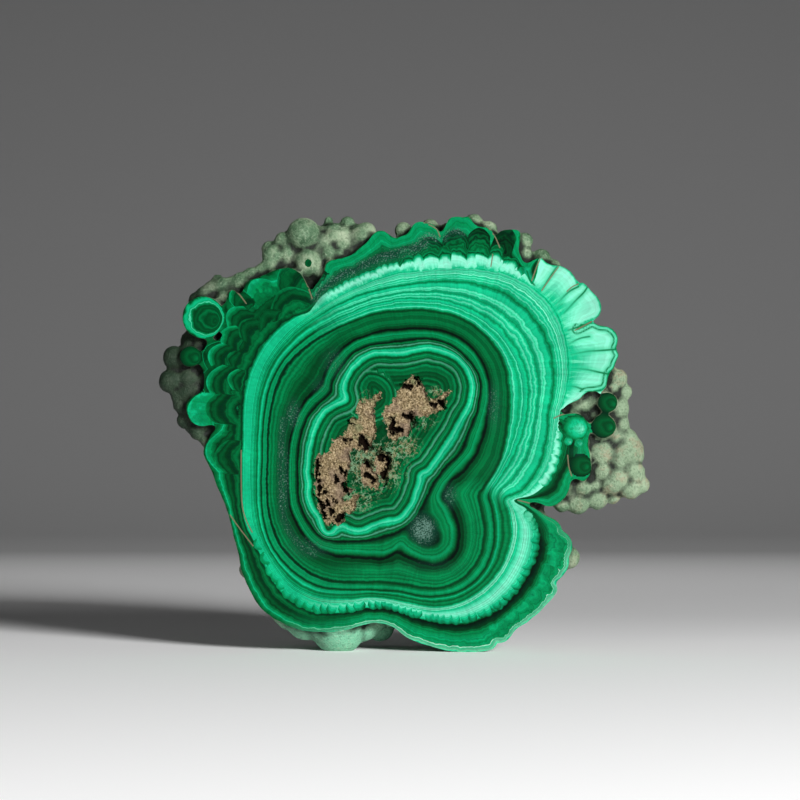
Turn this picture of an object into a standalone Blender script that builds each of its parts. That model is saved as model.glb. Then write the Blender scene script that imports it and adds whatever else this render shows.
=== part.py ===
"""Polished malachite slab that stands on its lower edge, with the polished face towards -Y.

It is one natural piece: a slice through a botryoidal growth. The front is sawn and polished flat,
the back is sawn flat, the rim between them is the grape-like crust that the mineral grew with, and
the middle of the front holds shallow earthy hollows with deeper pits. Two spots of the lower edge
are ground flat, and it rests on them.
"""

import math
import random

import bmesh
import bpy
from mathutils import Matrix, Vector

# Driving dimensions, in metres.
SLAB_WIDTH = 0.148  # over the crust, left to right
THICKNESS = 0.036  # from the polished face to the sawn back
CROWN_DEPTH = 0.0045  # how far back the front outline runs before the rougher body takes over
SAW_ALLOWANCE = 0.003  # what the saw takes off in front and behind

# Outlines are drawn over the photograph, in its pixels. These columns and this row tie them down.
LEFT_PIXEL = 158
RIGHT_PIXEL = 652
GROUND_PIXEL = 652
PIXEL = SLAB_WIDTH / (RIGHT_PIXEL - LEFT_PIXEL)

# The mesh: fused at this grid, then thinned to about this many triangles.
VOXEL = 0.0011
TRIANGLES = 8300

# Cut edge of the polished face, clockwise from the crevice at the upper left.
FACE_OUTLINE = [
    (312, 296), (314, 287), (320, 279), (325, 263), (334, 259), (345, 257), (355, 252), (363, 245),
    (370, 237), (376, 231), (384, 231), (395, 238), (408, 234), (412, 226), (419, 221), (433, 224),
    (440, 232), (448, 220), (458, 216), (468, 215), (475, 224), (488, 227), (494, 236), (499, 246),
    (500, 232), (508, 229), (518, 230), (520, 240), (519, 252), (525, 266), (533, 262), (542, 257),
    (553, 264), (564, 267), (574, 275), (580, 282), (590, 288), (598, 297), (602, 307), (598, 316),
    (590, 320), (577, 329), (592, 323), (608, 326), (618, 336), (617, 349), (619, 356), (614, 368),
    (609, 374), (607, 384), (600, 390), (586, 392), (574, 401), (563, 407), (555, 418), (566, 414),
    (580, 414), (588, 425), (588, 450), (591, 468), (583, 480), (572, 474), (570, 488), (562, 500),
    (549, 506), (536, 502), (522, 501), (532, 507), (546, 516), (560, 524), (563, 532), (571, 540),
    (572, 550), (568, 566), (561, 578), (558, 590), (546, 605), (530, 619), (513, 631), (497, 643),
    (486, 651), (462, 653), (440, 650), (420, 644), (402, 634), (388, 625), (374, 622), (357, 627),
    (338, 631), (318, 632), (298, 628), (280, 620), (264, 609), (252, 593), (247, 578), (243, 560),
    (238, 548), (232, 530), (224, 502), (214, 478), (205, 461), (203, 452), (210, 438), (219, 425),
    (206, 427), (191, 421), (186, 411), (189, 399), (201, 392), (203, 372), (203, 348), (218, 340),
    (225, 327), (226, 300), (231, 290), (243, 291), (249, 279), (263, 276), (279, 267), (296, 268),
    (304, 276), (308, 287),
]

# Outline of the rougher body behind it, which takes in the crust beyond the polished face.
BODY_OUTLINE = [
    (268, 266), (276, 252), (292, 243), (308, 235), (326, 232), (346, 230), (362, 234), (378, 243),
    (392, 243), (408, 239), (428, 235), (447, 234), (466, 229), (483, 232), (498, 243), (514, 248),
    (528, 260), (540, 272), (553, 283), (566, 296), (576, 310), (584, 326), (596, 341), (602, 358),
    (604, 373), (613, 381), (618, 396), (614, 415), (618, 430), (628, 447), (634, 464), (634, 480),
    (622, 486), (606, 490), (590, 495), (572, 497), (554, 494), (538, 502), (540, 516), (548, 530),
    (556, 545), (557, 560), (549, 575), (538, 591), (522, 605), (504, 618), (486, 630), (468, 637),
    (446, 635), (424, 629), (404, 621), (386, 622), (368, 632), (350, 640), (328, 639), (306, 633),
    (286, 621), (270, 604), (260, 584), (254, 567), (250, 547), (246, 530), (240, 510), (232, 490),
    (223, 470), (217, 450), (205, 436), (190, 424), (181, 408), (175, 392), (173, 376), (177, 360),
    (187, 346), (196, 330), (198, 314), (206, 300), (218, 291), (232, 287), (246, 284), (258, 277),
]

# Lumps of the crust that the front shows: column, row, depth behind the polished face in metres,
# and radius in pixels.
TOP_LEFT_LUMPS = [
    (304, 234, 0.0095, 16), (287, 244, 0.0105, 11), (272, 254, 0.0100, 10), (281, 257, 0.0075, 9),
    (333, 232, 0.0100, 10), (348, 223, 0.0125, 8), (329, 221, 0.0130, 7), (363, 233, 0.0110, 12),
    (343, 243, 0.0080, 9), (326, 246, 0.0085, 7), (330, 256, 0.0060, 7), (308, 262, 0.0036, 14),
    (291, 263, 0.0070, 7), (318, 270, 0.0055, 8), (252, 275, 0.0075, 8), (265, 271, 0.0070, 8),
    (238, 284, 0.0070, 10), (220, 284, 0.0075, 8), (208, 290, 0.0080, 10), (196, 299, 0.0085, 10),
]
LEFT_LUMPS = [
    (203, 317, 0.0030, 22), (190, 356, 0.0024, 11), (173, 357, 0.0080, 12), (169, 381, 0.0080, 11),
    (187, 379, 0.0052, 9), (187, 397, 0.0060, 9), (175, 402, 0.0100, 9), (184, 420, 0.0080, 9),
    (197, 434, 0.0070, 10), (207, 440, 0.0060, 8),
]
RIGHT_LUMPS = [
    (619, 378, 0.0070, 10), (626, 398, 0.0080, 9), (620, 416, 0.0060, 9), (608, 402, 0.0026, 11),
    (604, 426, 0.0026, 13), (605, 456, 0.0062, 18), (630, 444, 0.0075, 14), (637, 463, 0.0090, 11),
    (642, 484, 0.0090, 10), (630, 490, 0.0080, 10), (618, 484, 0.0070, 11), (598, 500, 0.0070, 12),
    (579, 504, 0.0065, 12), (583, 489, 0.0055, 11), (563, 504, 0.0060, 9), (594, 399, 0.0060, 11),
    (576, 408, 0.0060, 9), (569, 558, 0.0060, 11),
]
TOP_LUMPS = [
    (403, 229, 0.0080, 9), (430, 226, 0.0090, 9), (447, 228, 0.0080, 7), (474, 221, 0.0075, 9),
    (489, 228, 0.0075, 9), (525, 240, 0.0065, 9), (524, 254, 0.0060, 9), (542, 256, 0.0065, 9),
    (555, 265, 0.0070, 7),
]
LOWER_LUMPS = [
    (306, 614, 0.0140, 26), (360, 622, 0.0160, 20), (380, 630, 0.0200, 15), (280, 604, 0.0120, 18),
    (247, 570, 0.0055, 9), (244, 545, 0.0060, 9), (440, 624, 0.0180, 24), (494, 620, 0.0160, 24),
]

# The lumps that it stands on, ground flat underneath: two rows that run back into the slab.
FOOT_COLUMNS = [338, 470]
FOOT_ROW = 630
FOOT_RADIUS = 27
FOOT_DEPTHS = [0.0085, 0.0180, 0.0275]

# Lumps that cover the rest of the rim, as close as they fit without sinking into each other.
RIM_DEPTHS = (0.0075, 0.0345)
RIM_RADII = (0.0030, 0.0064)
RIM_STANDS_OUT = (0.0014, 0.0030)
RIM_CLOSEST = 0.62  # of the two radii together
RIM_TRIES = 4000
RIM_SEED = 11

# Earthy hollows in the middle of the face, and the pits in them: column, row, radius in pixels.
HOLLOW_DEPTH = 0.0009
HOLLOWS = [
    [
        (378, 398), (366, 401), (358, 406), (358, 417), (351, 421), (344, 433), (333, 443),
        (329, 452), (318, 457), (314, 472), (316, 492), (321, 512), (328, 524), (343, 523),
        (346, 512), (357, 504), (354, 490), (347, 478), (349, 460), (363, 451), (375, 438),
        (377, 412),
    ],
    [
        (411, 377), (402, 386), (397, 397), (385, 407), (383, 418), (389, 430), (389, 439),
        (401, 443), (412, 428), (417, 414), (440, 409), (452, 393), (436, 398), (427, 388),
        (419, 378),
    ],
    [
        (361, 465), (368, 459), (381, 453), (391, 459), (387, 474), (381, 482), (374, 488),
        (364, 482),
    ],
]
PITS = [
    (363, 444, 5), (394, 427, 5), (407, 386, 4), (412, 420, 4), (441, 403, 4), (385, 457, 6),
    (385, 472, 6), (369, 475, 5), (340, 518, 4), (337, 480, 3), (345, 488, 4), (317, 471, 3),
]
PIT_SET_BACK = 0.0006  # a pit's centre behind the polished face
HOLLOW_VOXEL = 0.0005
HOLLOW_TRIANGLES = 1100

FRONT = -THICKNESS / 2
BACK = THICKNESS / 2
SOLID_NAME = "malachite_slab"


def at(column, row, depth=0.0):
    """The place of a pixel of the photograph on the polished face, or that far behind it."""
    middle = (LEFT_PIXEL + RIGHT_PIXEL) / 2
    return Vector(((column - middle) * PIXEL, FRONT + depth, (GROUND_PIXEL - row) * PIXEL))


def clear_scene():
    for old in list(bpy.data.objects):
        bpy.data.objects.remove(old)


def new_collection(name):
    made = bpy.data.collections.new(name)
    bpy.context.scene.collection.children.link(made)
    return made


def outline_mesh(name, outline, front_depth, back_depth):
    """A closed prism over an outline, as a mesh in world space, between two depths."""
    curve = bpy.data.curves.new(name, "CURVE")
    curve.dimensions = "2D"
    curve.fill_mode = "BOTH"
    curve.resolution_u = 3
    curve.extrude = (back_depth - front_depth) / 2
    spline = curve.splines.new("BEZIER")
    spline.use_cyclic_u = True
    spline.bezier_points.add(len(outline) - 1)
    for point, (column, row) in zip(spline.bezier_points, outline):
        place = at(column, row)
        point.co = (place.x, place.z, 0)
        point.handle_left_type = point.handle_right_type = "AUTO"
    drawn = bpy.data.objects.new(name, curve)
    bpy.context.scene.collection.objects.link(drawn)
    # The curve lies in its own XY plane, which stands up as the slab's XZ plane.
    middle = Matrix.Translation((0, FRONT + (front_depth + back_depth) / 2, 0))
    drawn.matrix_world = middle @ Matrix.Rotation(math.radians(90), 4, "X")
    bpy.context.view_layer.update()
    evaluated = drawn.evaluated_get(bpy.context.evaluated_depsgraph_get())
    mesh = bpy.data.meshes.new_from_object(evaluated)
    mesh.transform(drawn.matrix_world)
    bpy.data.objects.remove(drawn)
    welded = bmesh.new()
    welded.from_mesh(mesh)
    bmesh.ops.remove_doubles(welded, verts=welded.verts, dist=1e-6)
    bmesh.ops.recalc_face_normals(welded, faces=welded.faces)
    welded.to_mesh(mesh)
    welded.free()
    return mesh


def add_lump(bm, centre, radius):
    bmesh.ops.create_icosphere(
        bm, subdivisions=3, radius=radius, matrix=Matrix.Translation(centre)
    )


def along(outline, distance):
    """The place that far along a closed outline, with its outward direction."""
    corners = [at(column, row) for column, row in outline]
    for corner, following in zip(corners, corners[1:] + corners[:1]):
        side = following - corner
        if distance < side.length:
            return corner + side * distance / side.length, Vector((-side.z, 0, side.x)).normalized()
        distance -= side.length
    raise ValueError("the outline is shorter than that")


def length_round(outline):
    corners = [at(column, row) for column, row in outline]
    return sum((b - a).length for a, b in zip(corners, corners[1:] + corners[:1]))


def rim_lumps():
    """Centres and radii of the lumps round the body, largest first, none deep inside another."""
    rng = random.Random(RIM_SEED)
    round_trip = length_round(BODY_OUTLINE)
    radii = sorted((rng.uniform(*RIM_RADII) for _ in range(RIM_TRIES)), reverse=True)
    kept = []
    for radius in radii:
        place, outward = along(BODY_OUTLINE, rng.uniform(0, round_trip * 0.999))
        centre = place + outward * (rng.uniform(*RIM_STANDS_OUT) - radius)
        centre.y += rng.uniform(*RIM_DEPTHS)
        if all((centre - c).length > RIM_CLOSEST * (radius + r) for c, r in kept):
            kept.append((centre, radius))
    return kept


def foot_lumps():
    return [
        (at(column, FOOT_ROW, depth), FOOT_RADIUS * PIXEL)
        for column in FOOT_COLUMNS
        for depth in FOOT_DEPTHS
    ]


def build_slab(collection):
    """The growth before the saw: crown, body and lumps in one skin."""
    bm = bmesh.new()
    bm.from_mesh(outline_mesh("crown", FACE_OUTLINE, -SAW_ALLOWANCE, CROWN_DEPTH))
    bm.from_mesh(
        outline_mesh("body", BODY_OUTLINE, CROWN_DEPTH - 0.002, THICKNESS + SAW_ALLOWANCE)
    )
    for lumps in (TOP_LEFT_LUMPS, LEFT_LUMPS, RIGHT_LUMPS, TOP_LUMPS, LOWER_LUMPS):
        for column, row, depth, radius in lumps:
            add_lump(bm, at(column, row, depth), radius * PIXEL)
    for centre, radius in rim_lumps() + foot_lumps():
        add_lump(bm, centre, radius)
    mesh = bpy.data.meshes.new(SOLID_NAME)
    bm.to_mesh(mesh)
    bm.free()
    slab = bpy.data.objects.new(SOLID_NAME, mesh)
    collection.objects.link(slab)
    fuse_and_thin(slab, VOXEL, TRIANGLES)
    return slab


def fuse_and_thin(lumpy, voxel, triangles):
    """Joins overlapping lumps into one skin, then leaves most triangles where it curves."""
    remesh = lumpy.modifiers.new("fuse", "REMESH")
    remesh.mode = "VOXEL"
    remesh.voxel_size = voxel
    bpy.context.view_layer.update()
    fused = lumpy.evaluated_get(bpy.context.evaluated_depsgraph_get()).to_mesh()
    decimate = lumpy.modifiers.new("thin_out", "DECIMATE")
    decimate.ratio = triangles / (2 * len(fused.polygons))
    decimate.use_collapse_triangulate = True


def as_cutter(cutter, collection):
    cutter.display_type = "WIRE"
    cutter.hide_render = True
    collection.objects.link(cutter)
    return cutter


def box_cutter(name, low, high, collection):
    bm = bmesh.new()
    size = Vector(high) - Vector(low)
    middle = (Vector(high) + Vector(low)) / 2
    bmesh.ops.create_cube(bm, matrix=Matrix.Translation(middle) @ Matrix.Diagonal((*size, 1)))
    mesh = bpy.data.meshes.new(name)
    bm.to_mesh(mesh)
    bm.free()
    return as_cutter(bpy.data.objects.new(name, mesh), collection)


def hollows_cutter(collection):
    """The earthy hollows and their pits, fused and thinned like the slab."""
    bm = bmesh.new()
    for outline in HOLLOWS:
        bm.from_mesh(outline_mesh("hollow", outline, -SAW_ALLOWANCE, HOLLOW_DEPTH))
    for column, row, radius in PITS:
        add_lump(bm, at(column, row, PIT_SET_BACK), radius * PIXEL)
    mesh = bpy.data.meshes.new("hollows")
    bm.to_mesh(mesh)
    bm.free()
    cutter = as_cutter(bpy.data.objects.new("hollows", mesh), collection)
    fuse_and_thin(cutter, HOLLOW_VOXEL, HOLLOW_TRIANGLES)
    return cutter


def cut(slab, cutter):
    boolean = slab.modifiers.new("cut_" + cutter.name, "BOOLEAN")
    boolean.operation = "DIFFERENCE"
    boolean.object = cutter


def saw_and_grind(slab, collection):
    """Flat front, flat back and the two flats of the lower edge, which lie in one plane."""
    far = 0.2
    cut(slab, box_cutter("saw_front", (-far, FRONT - far, -far), (far, FRONT, far), collection))
    cut(slab, box_cutter("saw_back", (-far, BACK, -far), (far, BACK + far, far), collection))
    cut(slab, box_cutter("grind_base", (-far, -far, -far), (far, far, 0), collection))


def malachite():
    made = bpy.data.materials.new("malachite")
    made.use_nodes = True
    shader = made.node_tree.nodes["Principled BSDF"]
    shader.inputs["Base Color"].default_value = (0.01, 0.24, 0.11, 1)
    shader.inputs["Roughness"].default_value = 0.2
    shader.inputs["Metallic"].default_value = 0.0
    return made


def main():
    clear_scene()
    solids = new_collection("malachite_slab")
    cutters = new_collection("cutters")
    slab = build_slab(solids)
    saw_and_grind(slab, cutters)
    cut(slab, hollows_cutter(cutters))
    slab.data.materials.append(malachite())


main()
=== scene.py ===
"""The looks of the polished malachite slab: its banded face, its grape-like crust and its studio.

The slab is one closed mesh. Its rim is grown from outlines and lumps, as the solid is, and then sawn
in front and behind. The two sawn faces are filled with points that carry how far the growth had got
there, and the materials turn that into bands.
"""

import math
import random

import bmesh
import bpy
import numpy as np
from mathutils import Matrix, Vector, noise
from mathutils.geometry import delaunay_2d_cdt


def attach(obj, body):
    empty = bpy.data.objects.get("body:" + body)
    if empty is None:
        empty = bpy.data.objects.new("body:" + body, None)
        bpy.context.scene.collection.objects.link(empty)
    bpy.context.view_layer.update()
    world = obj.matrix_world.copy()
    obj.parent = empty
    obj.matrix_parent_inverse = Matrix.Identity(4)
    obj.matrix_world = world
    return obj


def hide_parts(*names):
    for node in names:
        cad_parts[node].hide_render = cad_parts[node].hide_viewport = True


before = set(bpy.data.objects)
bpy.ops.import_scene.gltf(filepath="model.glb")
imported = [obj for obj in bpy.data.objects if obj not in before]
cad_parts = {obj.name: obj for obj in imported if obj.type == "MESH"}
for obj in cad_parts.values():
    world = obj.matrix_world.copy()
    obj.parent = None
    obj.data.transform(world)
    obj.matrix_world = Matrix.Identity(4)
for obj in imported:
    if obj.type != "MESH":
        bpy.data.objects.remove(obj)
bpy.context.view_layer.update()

# Driving sizes, in metres, the same as the solid's.
SLAB_WIDTH = 0.148
THICKNESS = 0.036
CROWN_DEPTH = 0.0045
SAW_ALLOWANCE = 0.003
FRONT = -THICKNESS / 2
BACK = THICKNESS / 2

# Outlines are drawn over the photograph, in its pixels. These columns and this row tie them down.
LEFT_PIXEL = 158
RIGHT_PIXEL = 652
GROUND_PIXEL = 652
MIDDLE_PIXEL = (LEFT_PIXEL + RIGHT_PIXEL) / 2
PIXEL = SLAB_WIDTH / (RIGHT_PIXEL - LEFT_PIXEL)

# How fine the mesh is, in metres for the rim and in pixels for the sawn faces.
RIM_VOXEL = 0.00082
INNER_SPACING = 2.7
OUTER_SPACING = 1.75
HOLLOW_SPACING = 1.2
BACK_SPACING = 5.0

# Cut edge of the polished face, clockwise from the crevice at the upper left.
FACE_OUTLINE = [
    (312, 296), (314, 287), (319, 280), (324, 272), (326, 263), (334, 259), (345, 257), (355, 252),
    (362, 246), (368, 241), (372, 235), (376, 231), (381, 230), (387, 232), (395, 238), (403, 235),
    (408, 233), (412, 226), (418, 221), (425, 222), (433, 224), (437, 228), (440, 233), (444, 228),
    (448, 220), (451, 217), (458, 216), (463, 217), (468, 216), (475, 224), (482, 226), (488, 227),
    (492, 231), (496, 238), (500, 246), (499, 233), (502, 230), (508, 229), (515, 229), (520, 231),
    (520, 240), (519, 250), (523, 260), (526, 268), (530, 262), (535, 259), (541, 257), (546, 262),
    (553, 265), (562, 266), (568, 269), (574, 275), (579, 284), (582, 282), (588, 286), (592, 291),
    (598, 297), (601, 304), (601, 312), (597, 317), (590, 320), (583, 323), (577, 329), (584, 326),
    (592, 322), (600, 325), (608, 326), (614, 330), (618, 336), (618, 343), (616, 348), (618, 352),
    (619, 356), (616, 362), (614, 368), (610, 372), (608, 377), (607, 384), (603, 389), (594, 391),
    (586, 392), (580, 398), (573, 402), (565, 406), (560, 412), (556, 418), (563, 414), (575, 413),
    (583, 416), (588, 424), (589, 434), (588, 445), (590, 455), (592, 468), (588, 478), (583, 481),
    (577, 478), (571, 479), (570, 488), (565, 497), (557, 504), (548, 506), (540, 503), (530, 501),
    (519, 500), (530, 506), (538, 510), (546, 516), (554, 519), (560, 524), (562, 531), (568, 534),
    (572, 541), (572, 550), (569, 556), (569, 563), (567, 570), (561, 578), (556, 582), (558, 590),
    (553, 598), (546, 605), (540, 612), (532, 618), (525, 624), (516, 629), (511, 636), (506, 641),
    (500, 643), (497, 642), (494, 648), (486, 651), (475, 652), (462, 652), (450, 651), (440, 649),
    (430, 646), (420, 643), (410, 639), (402, 634), (395, 628), (388, 625), (380, 623), (372, 623),
    (360, 626), (340, 630), (320, 632), (300, 630), (282, 623), (266, 613), (256, 602), (250, 591),
    (244, 578), (240, 565), (238, 552), (234, 538), (230, 522), (226, 508), (221, 495), (216, 484),
    (212, 472), (208, 464), (204, 457), (203, 450), (207, 442), (211, 434), (219, 424), (210, 425),
    (200, 426), (192, 422), (187, 414), (186, 405), (190, 398), (197, 394), (203, 391), (204, 380),
    (203, 370), (201, 362), (204, 350), (208, 342), (218, 340), (222, 336), (225, 328), (226, 315),
    (226, 304), (227, 297), (230, 291), (234, 290), (240, 295), (243, 290), (247, 281), (256, 278),
    (264, 275), (272, 271), (280, 268), (292, 268), (300, 273), (304, 278), (308, 287),
]

# Outline of the rougher body behind it, which takes in the crust beyond the polished face.
BODY_OUTLINE = [
    (268, 266), (276, 252), (292, 243), (308, 235), (326, 232), (346, 230), (362, 234), (378, 243),
    (392, 243), (408, 239), (428, 235), (447, 234), (466, 229), (483, 232), (498, 243), (514, 248),
    (528, 260), (540, 272), (553, 283), (566, 296), (576, 310), (584, 326), (596, 341), (602, 358),
    (604, 373), (613, 381), (618, 396), (614, 415), (618, 430), (628, 447), (634, 464), (634, 480),
    (622, 486), (606, 490), (590, 495), (572, 497), (554, 494), (538, 502), (540, 516), (548, 530),
    (556, 545), (557, 560), (549, 575), (538, 591), (522, 605), (504, 618), (486, 630), (468, 637),
    (446, 635), (424, 629), (404, 621), (386, 622), (368, 632), (350, 640), (328, 639), (306, 633),
    (286, 621), (270, 604), (260, 584), (254, 567), (250, 547), (246, 530), (240, 510), (232, 490),
    (223, 470), (217, 450), (205, 436), (190, 424), (181, 408), (175, 392), (173, 376), (177, 360),
    (187, 346), (196, 330), (198, 314), (206, 300), (218, 291), (232, 287), (246, 284), (258, 277),
]

# Lumps of the crust that the front shows: column, row, depth behind the polished face in metres,
# and radius in pixels.
TOP_LEFT_LUMPS = [
    (303, 233, 0.0068, 17), (283, 239, 0.0085, 9), (290, 249, 0.0080, 8), (272, 254, 0.0078, 11),
    (268, 247, 0.0100, 8), (284, 260, 0.0070, 8), (334, 231, 0.0085, 10), (347, 221, 0.0105, 7),
    (328, 219, 0.0120, 5), (343, 243, 0.0066, 9), (326, 242, 0.0070, 7), (365, 232, 0.0088, 12),
    (357, 242, 0.0068, 7), (354, 229, 0.0100, 7), (329, 254, 0.0050, 8), (338, 254, 0.0048, 6),
    (308, 262, 0.0048, 14), (319, 270, 0.0048, 8), (305, 275, 0.0050, 6), (320, 257, 0.0052, 7),
    (292, 264, 0.0062, 6), (262, 268, 0.0066, 7), (271, 267, 0.0058, 7), (250, 274, 0.0066, 8),
    (240, 280, 0.0060, 9), (231, 283, 0.0068, 8), (221, 285, 0.0066, 9), (211, 288, 0.0072, 9),
    (203, 294, 0.0066, 9), (196, 300, 0.0076, 9), (216, 279, 0.0090, 6), (256, 279, 0.0056, 5),
]
LEFT_LUMPS = [
    (203, 317, 0.0012, 21.5), (190, 356, 0.0010, 11), (173, 357, 0.0072, 12), (169, 381, 0.0072, 12),
    (187, 377, 0.0050, 9), (188, 392, 0.0056, 7), (180, 404, 0.0076, 9), (190, 411, 0.0064, 7),
    (184, 420, 0.0072, 9), (197, 431, 0.0060, 9), (206, 440, 0.0056, 7), (180, 368, 0.0100, 8),
    (187, 340, 0.0110, 9), (176, 393, 0.0095, 8),
]
RIGHT_LUMPS = [
    (619, 378, 0.0066, 10), (626, 392, 0.0076, 8), (622, 406, 0.0066, 8), (622, 420, 0.0070, 8),
    (608, 402, 0.0010, 10.5), (604, 426, 0.0010, 12.5), (602, 452, 0.0068, 17), (604, 471, 0.0056, 11),
    (628, 440, 0.0072, 12), (636, 456, 0.0078, 10), (622, 462, 0.0060, 11), (636, 473, 0.0070, 11),
    (643, 485, 0.0084, 9), (632, 489, 0.0070, 11), (613, 484, 0.0056, 11), (598, 499, 0.0066, 11),
    (579, 503, 0.0062, 12), (583, 487, 0.0050, 10), (596, 485, 0.0058, 8), (563, 504, 0.0056, 9),
    (570, 493, 0.0048, 8), (594, 399, 0.0052, 10), (577, 406, 0.0050, 9), (569, 558, 0.0056, 12),
    (612, 388, 0.0052, 7), (590, 442, 0.0044, 7), (614, 497, 0.0086, 8),
    (626, 452, 0.0088, 20), (617, 408, 0.0070, 14), (618, 478, 0.0074, 16),
    (616, 436, 0.0066, 13), (630, 470, 0.0068, 11), (584, 403, 0.0058, 11), (622, 424, 0.0062, 9),
]
TOP_LUMPS = [
    (403, 229, 0.0080, 9), (430, 226, 0.0090, 9), (447, 228, 0.0080, 7), (474, 221, 0.0075, 9),
    (489, 228, 0.0075, 9), (525, 240, 0.0065, 9), (524, 254, 0.0060, 9), (542, 256, 0.0065, 9),
    (555, 265, 0.0070, 7),
]
LOWER_LUMPS = [
    (290, 612, 0.0100, 20), (306, 618, 0.0090, 24), (325, 622, 0.0085, 24), (345, 624, 0.0095, 22),
    (362, 626, 0.0110, 18), (380, 630, 0.0200, 15), (274, 600, 0.0100, 16),
    (247, 570, 0.0055, 9), (244, 545, 0.0060, 9), (440, 624, 0.0180, 24), (494, 620, 0.0160, 24),
]

# The lumps that it stands on, ground flat underneath: two rows that run back into the slab.
FOOT_COLUMNS = [338, 470]
FOOT_ROW = 630
FOOT_RADIUS = 27
FOOT_DEPTHS = [0.0085, 0.0180, 0.0275]

# Lumps that cover the rest of the rim, as close as they fit without sinking into each other.
RIM_DEPTHS = (0.0075, 0.0345)
RIM_RADII = (0.0030, 0.0064)
RIM_STANDS_OUT = (0.0014, 0.0030)
RIM_CLOSEST = 0.62  # of the two radii together
RIM_TRIES = 4000
RIM_SEED = 11

# The crown sits on a neck, a smaller copy of the face, that runs into the body behind the lumps.
NECK_SHARE = 0.955
NECK_DEPTH = 0.015
NECK_OVERLAP = 0.002
BODY_SHARE = 0.965
BODY_STARTS = 0.0060
LUMPS_NEARER = 0.82  # of the depth that is listed for a lump above the foot
MIDDLE = (400, 440)

# How often the sides of a ball are halved, for the lumps and for the small ones.
LUMP_FINENESS = 3
SMALL_LUMP_FINENESS = 2

# Small lumps that fill what shows of the body between the larger ones.
FILLER_RADII = (0.0020, 0.0034)
FILLER_DEPTHS = (0.0050, 0.0068)
FILLER_CLOSEST = 0.50
FILLER_TRIES = 6000
FILLER_ROWS = (220, 640)
FILLER_SEED = 21

# Small lumps that sit on the others, and the grain of the crust.
BUD_SHARE = (0.22, 0.36)  # of the radius of the lump it sits on
BUDS_PER_LUMP = 2
BUD_OUTWARD = 1.1  # how much more a bud looks away from the slab's middle than elsewhere
BUD_SUNK = 0.55  # share of its radius that is inside its lump
SLAB_MIDDLE = (0, 0, 0.066)
BUD_SEED = 5
GRAIN = ((0.0030, 0.00020), (0.0011, 0.00008))

# Growth lines, from the bright ring round the middle outwards. Each is a line that the growth had
# reached at one time, drawn clockwise.
BRIGHT_RING = [
    (345, 399), (343, 390), (344, 382), (347, 375), (351, 368), (356, 363), (362, 358), (369, 354),
    (377, 352), (390, 352), (402, 352), (411, 350), (420, 348), (428, 347), (437, 349), (446, 351),
    (454, 355), (461, 360), (467, 367), (471, 376), (473, 385), (472, 395), (470, 404), (466, 412),
    (461, 420), (457, 428), (452, 437), (446, 446), (440, 455), (434, 464), (428, 471), (421, 475),
    (420, 482), (417, 491), (414, 500), (409, 509), (403, 516), (397, 520), (389, 521), (381, 523),
    (373, 526), (365, 530), (357, 531), (349, 529), (343, 526), (337, 528), (334, 532), (328, 534),
    (323, 531), (320, 524), (318, 517), (313, 510), (309, 502), (307, 493), (308, 484), (306, 473),
    (307, 462), (308, 452), (310, 442), (312, 434), (315, 426), (319, 418), (324, 411), (331, 406),
    (339, 402),
]
DARK_SEAM = [
    (360, 348), (367, 345), (376, 343), (386, 342), (398, 340), (410, 339), (420, 338), (431, 338),
    (441, 340), (450, 344), (458, 349), (466, 357), (473, 365), (478, 373), (481, 382), (481, 392),
    (479, 403), (477, 414), (472, 426), (468, 436), (465, 446), (459, 455), (452, 462), (445, 469),
    (439, 477), (433, 486), (428, 496), (424, 505), (420, 513), (414, 521), (406, 528), (397, 533),
    (387, 536), (377, 539), (366, 541), (352, 542), (340, 542), (331, 541), (322, 538), (313, 530),
    (306, 520), (301, 510), (298, 499), (297, 486), (297, 470), (297, 455), (299, 441), (301, 431),
    (305, 421), (309, 413), (315, 406), (321, 400), (327, 395), (330, 390), (331, 383), (335, 374),
    (341, 366), (347, 358), (353, 352),
]
GREEN_RING = [
    (400, 334), (412, 333), (424, 333), (436, 334), (448, 338), (459, 343), (468, 350), (475, 358),
    (480, 367), (484, 377), (486, 387), (486, 398), (484, 408), (481, 420), (477, 432), (473, 443),
    (469, 453), (462, 461), (455, 469), (448, 477), (441, 486), (437, 495), (441, 504), (446, 513),
    (450, 523), (452, 533), (451, 543), (446, 551), (438, 556), (428, 557), (418, 554), (409, 549),
    (400, 543), (393, 549), (385, 552), (376, 552), (366, 551), (352, 550), (338, 550), (327, 548),
    (318, 544), (310, 537), (304, 529), (298, 518), (293, 507), (291, 495), (290, 480), (290, 465),
    (291, 450), (293, 438), (296, 427), (300, 417), (304, 409), (309, 402), (315, 396), (321, 391),
    (325, 386), (327, 379), (330, 371), (334, 364), (340, 357), (346, 350), (354, 344), (363, 340),
    (374, 337), (387, 335),
]
BLACK_BAND = [
    (408, 328), (420, 328), (433, 329), (445, 331), (455, 335), (464, 340), (472, 347), (479, 356),
    (484, 365), (488, 376), (490, 388), (490, 400), (488, 413), (486, 426), (483, 438), (479, 449),
    (474, 458), (467, 467), (459, 475), (451, 480), (446, 489), (443, 498), (448, 503), (453, 511),
    (457, 520), (459, 530), (459, 540), (457, 550), (451, 558), (443, 563), (433, 565), (423, 563),
    (413, 559), (404, 555), (397, 552), (390, 556), (380, 559), (369, 558), (354, 557), (340, 556),
    (327, 553), (317, 548), (309, 541), (302, 532), (296, 522), (291, 511), (289, 499), (288, 484),
    (288, 467), (289, 450), (291, 437), (294, 426), (297, 415), (301, 407), (306, 400), (312, 394),
    (318, 388), (322, 383), (324, 377), (327, 369), (331, 361), (337, 354), (344, 347), (352, 341),
    (362, 337), (373, 333), (385, 330), (397, 329),
]
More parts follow.
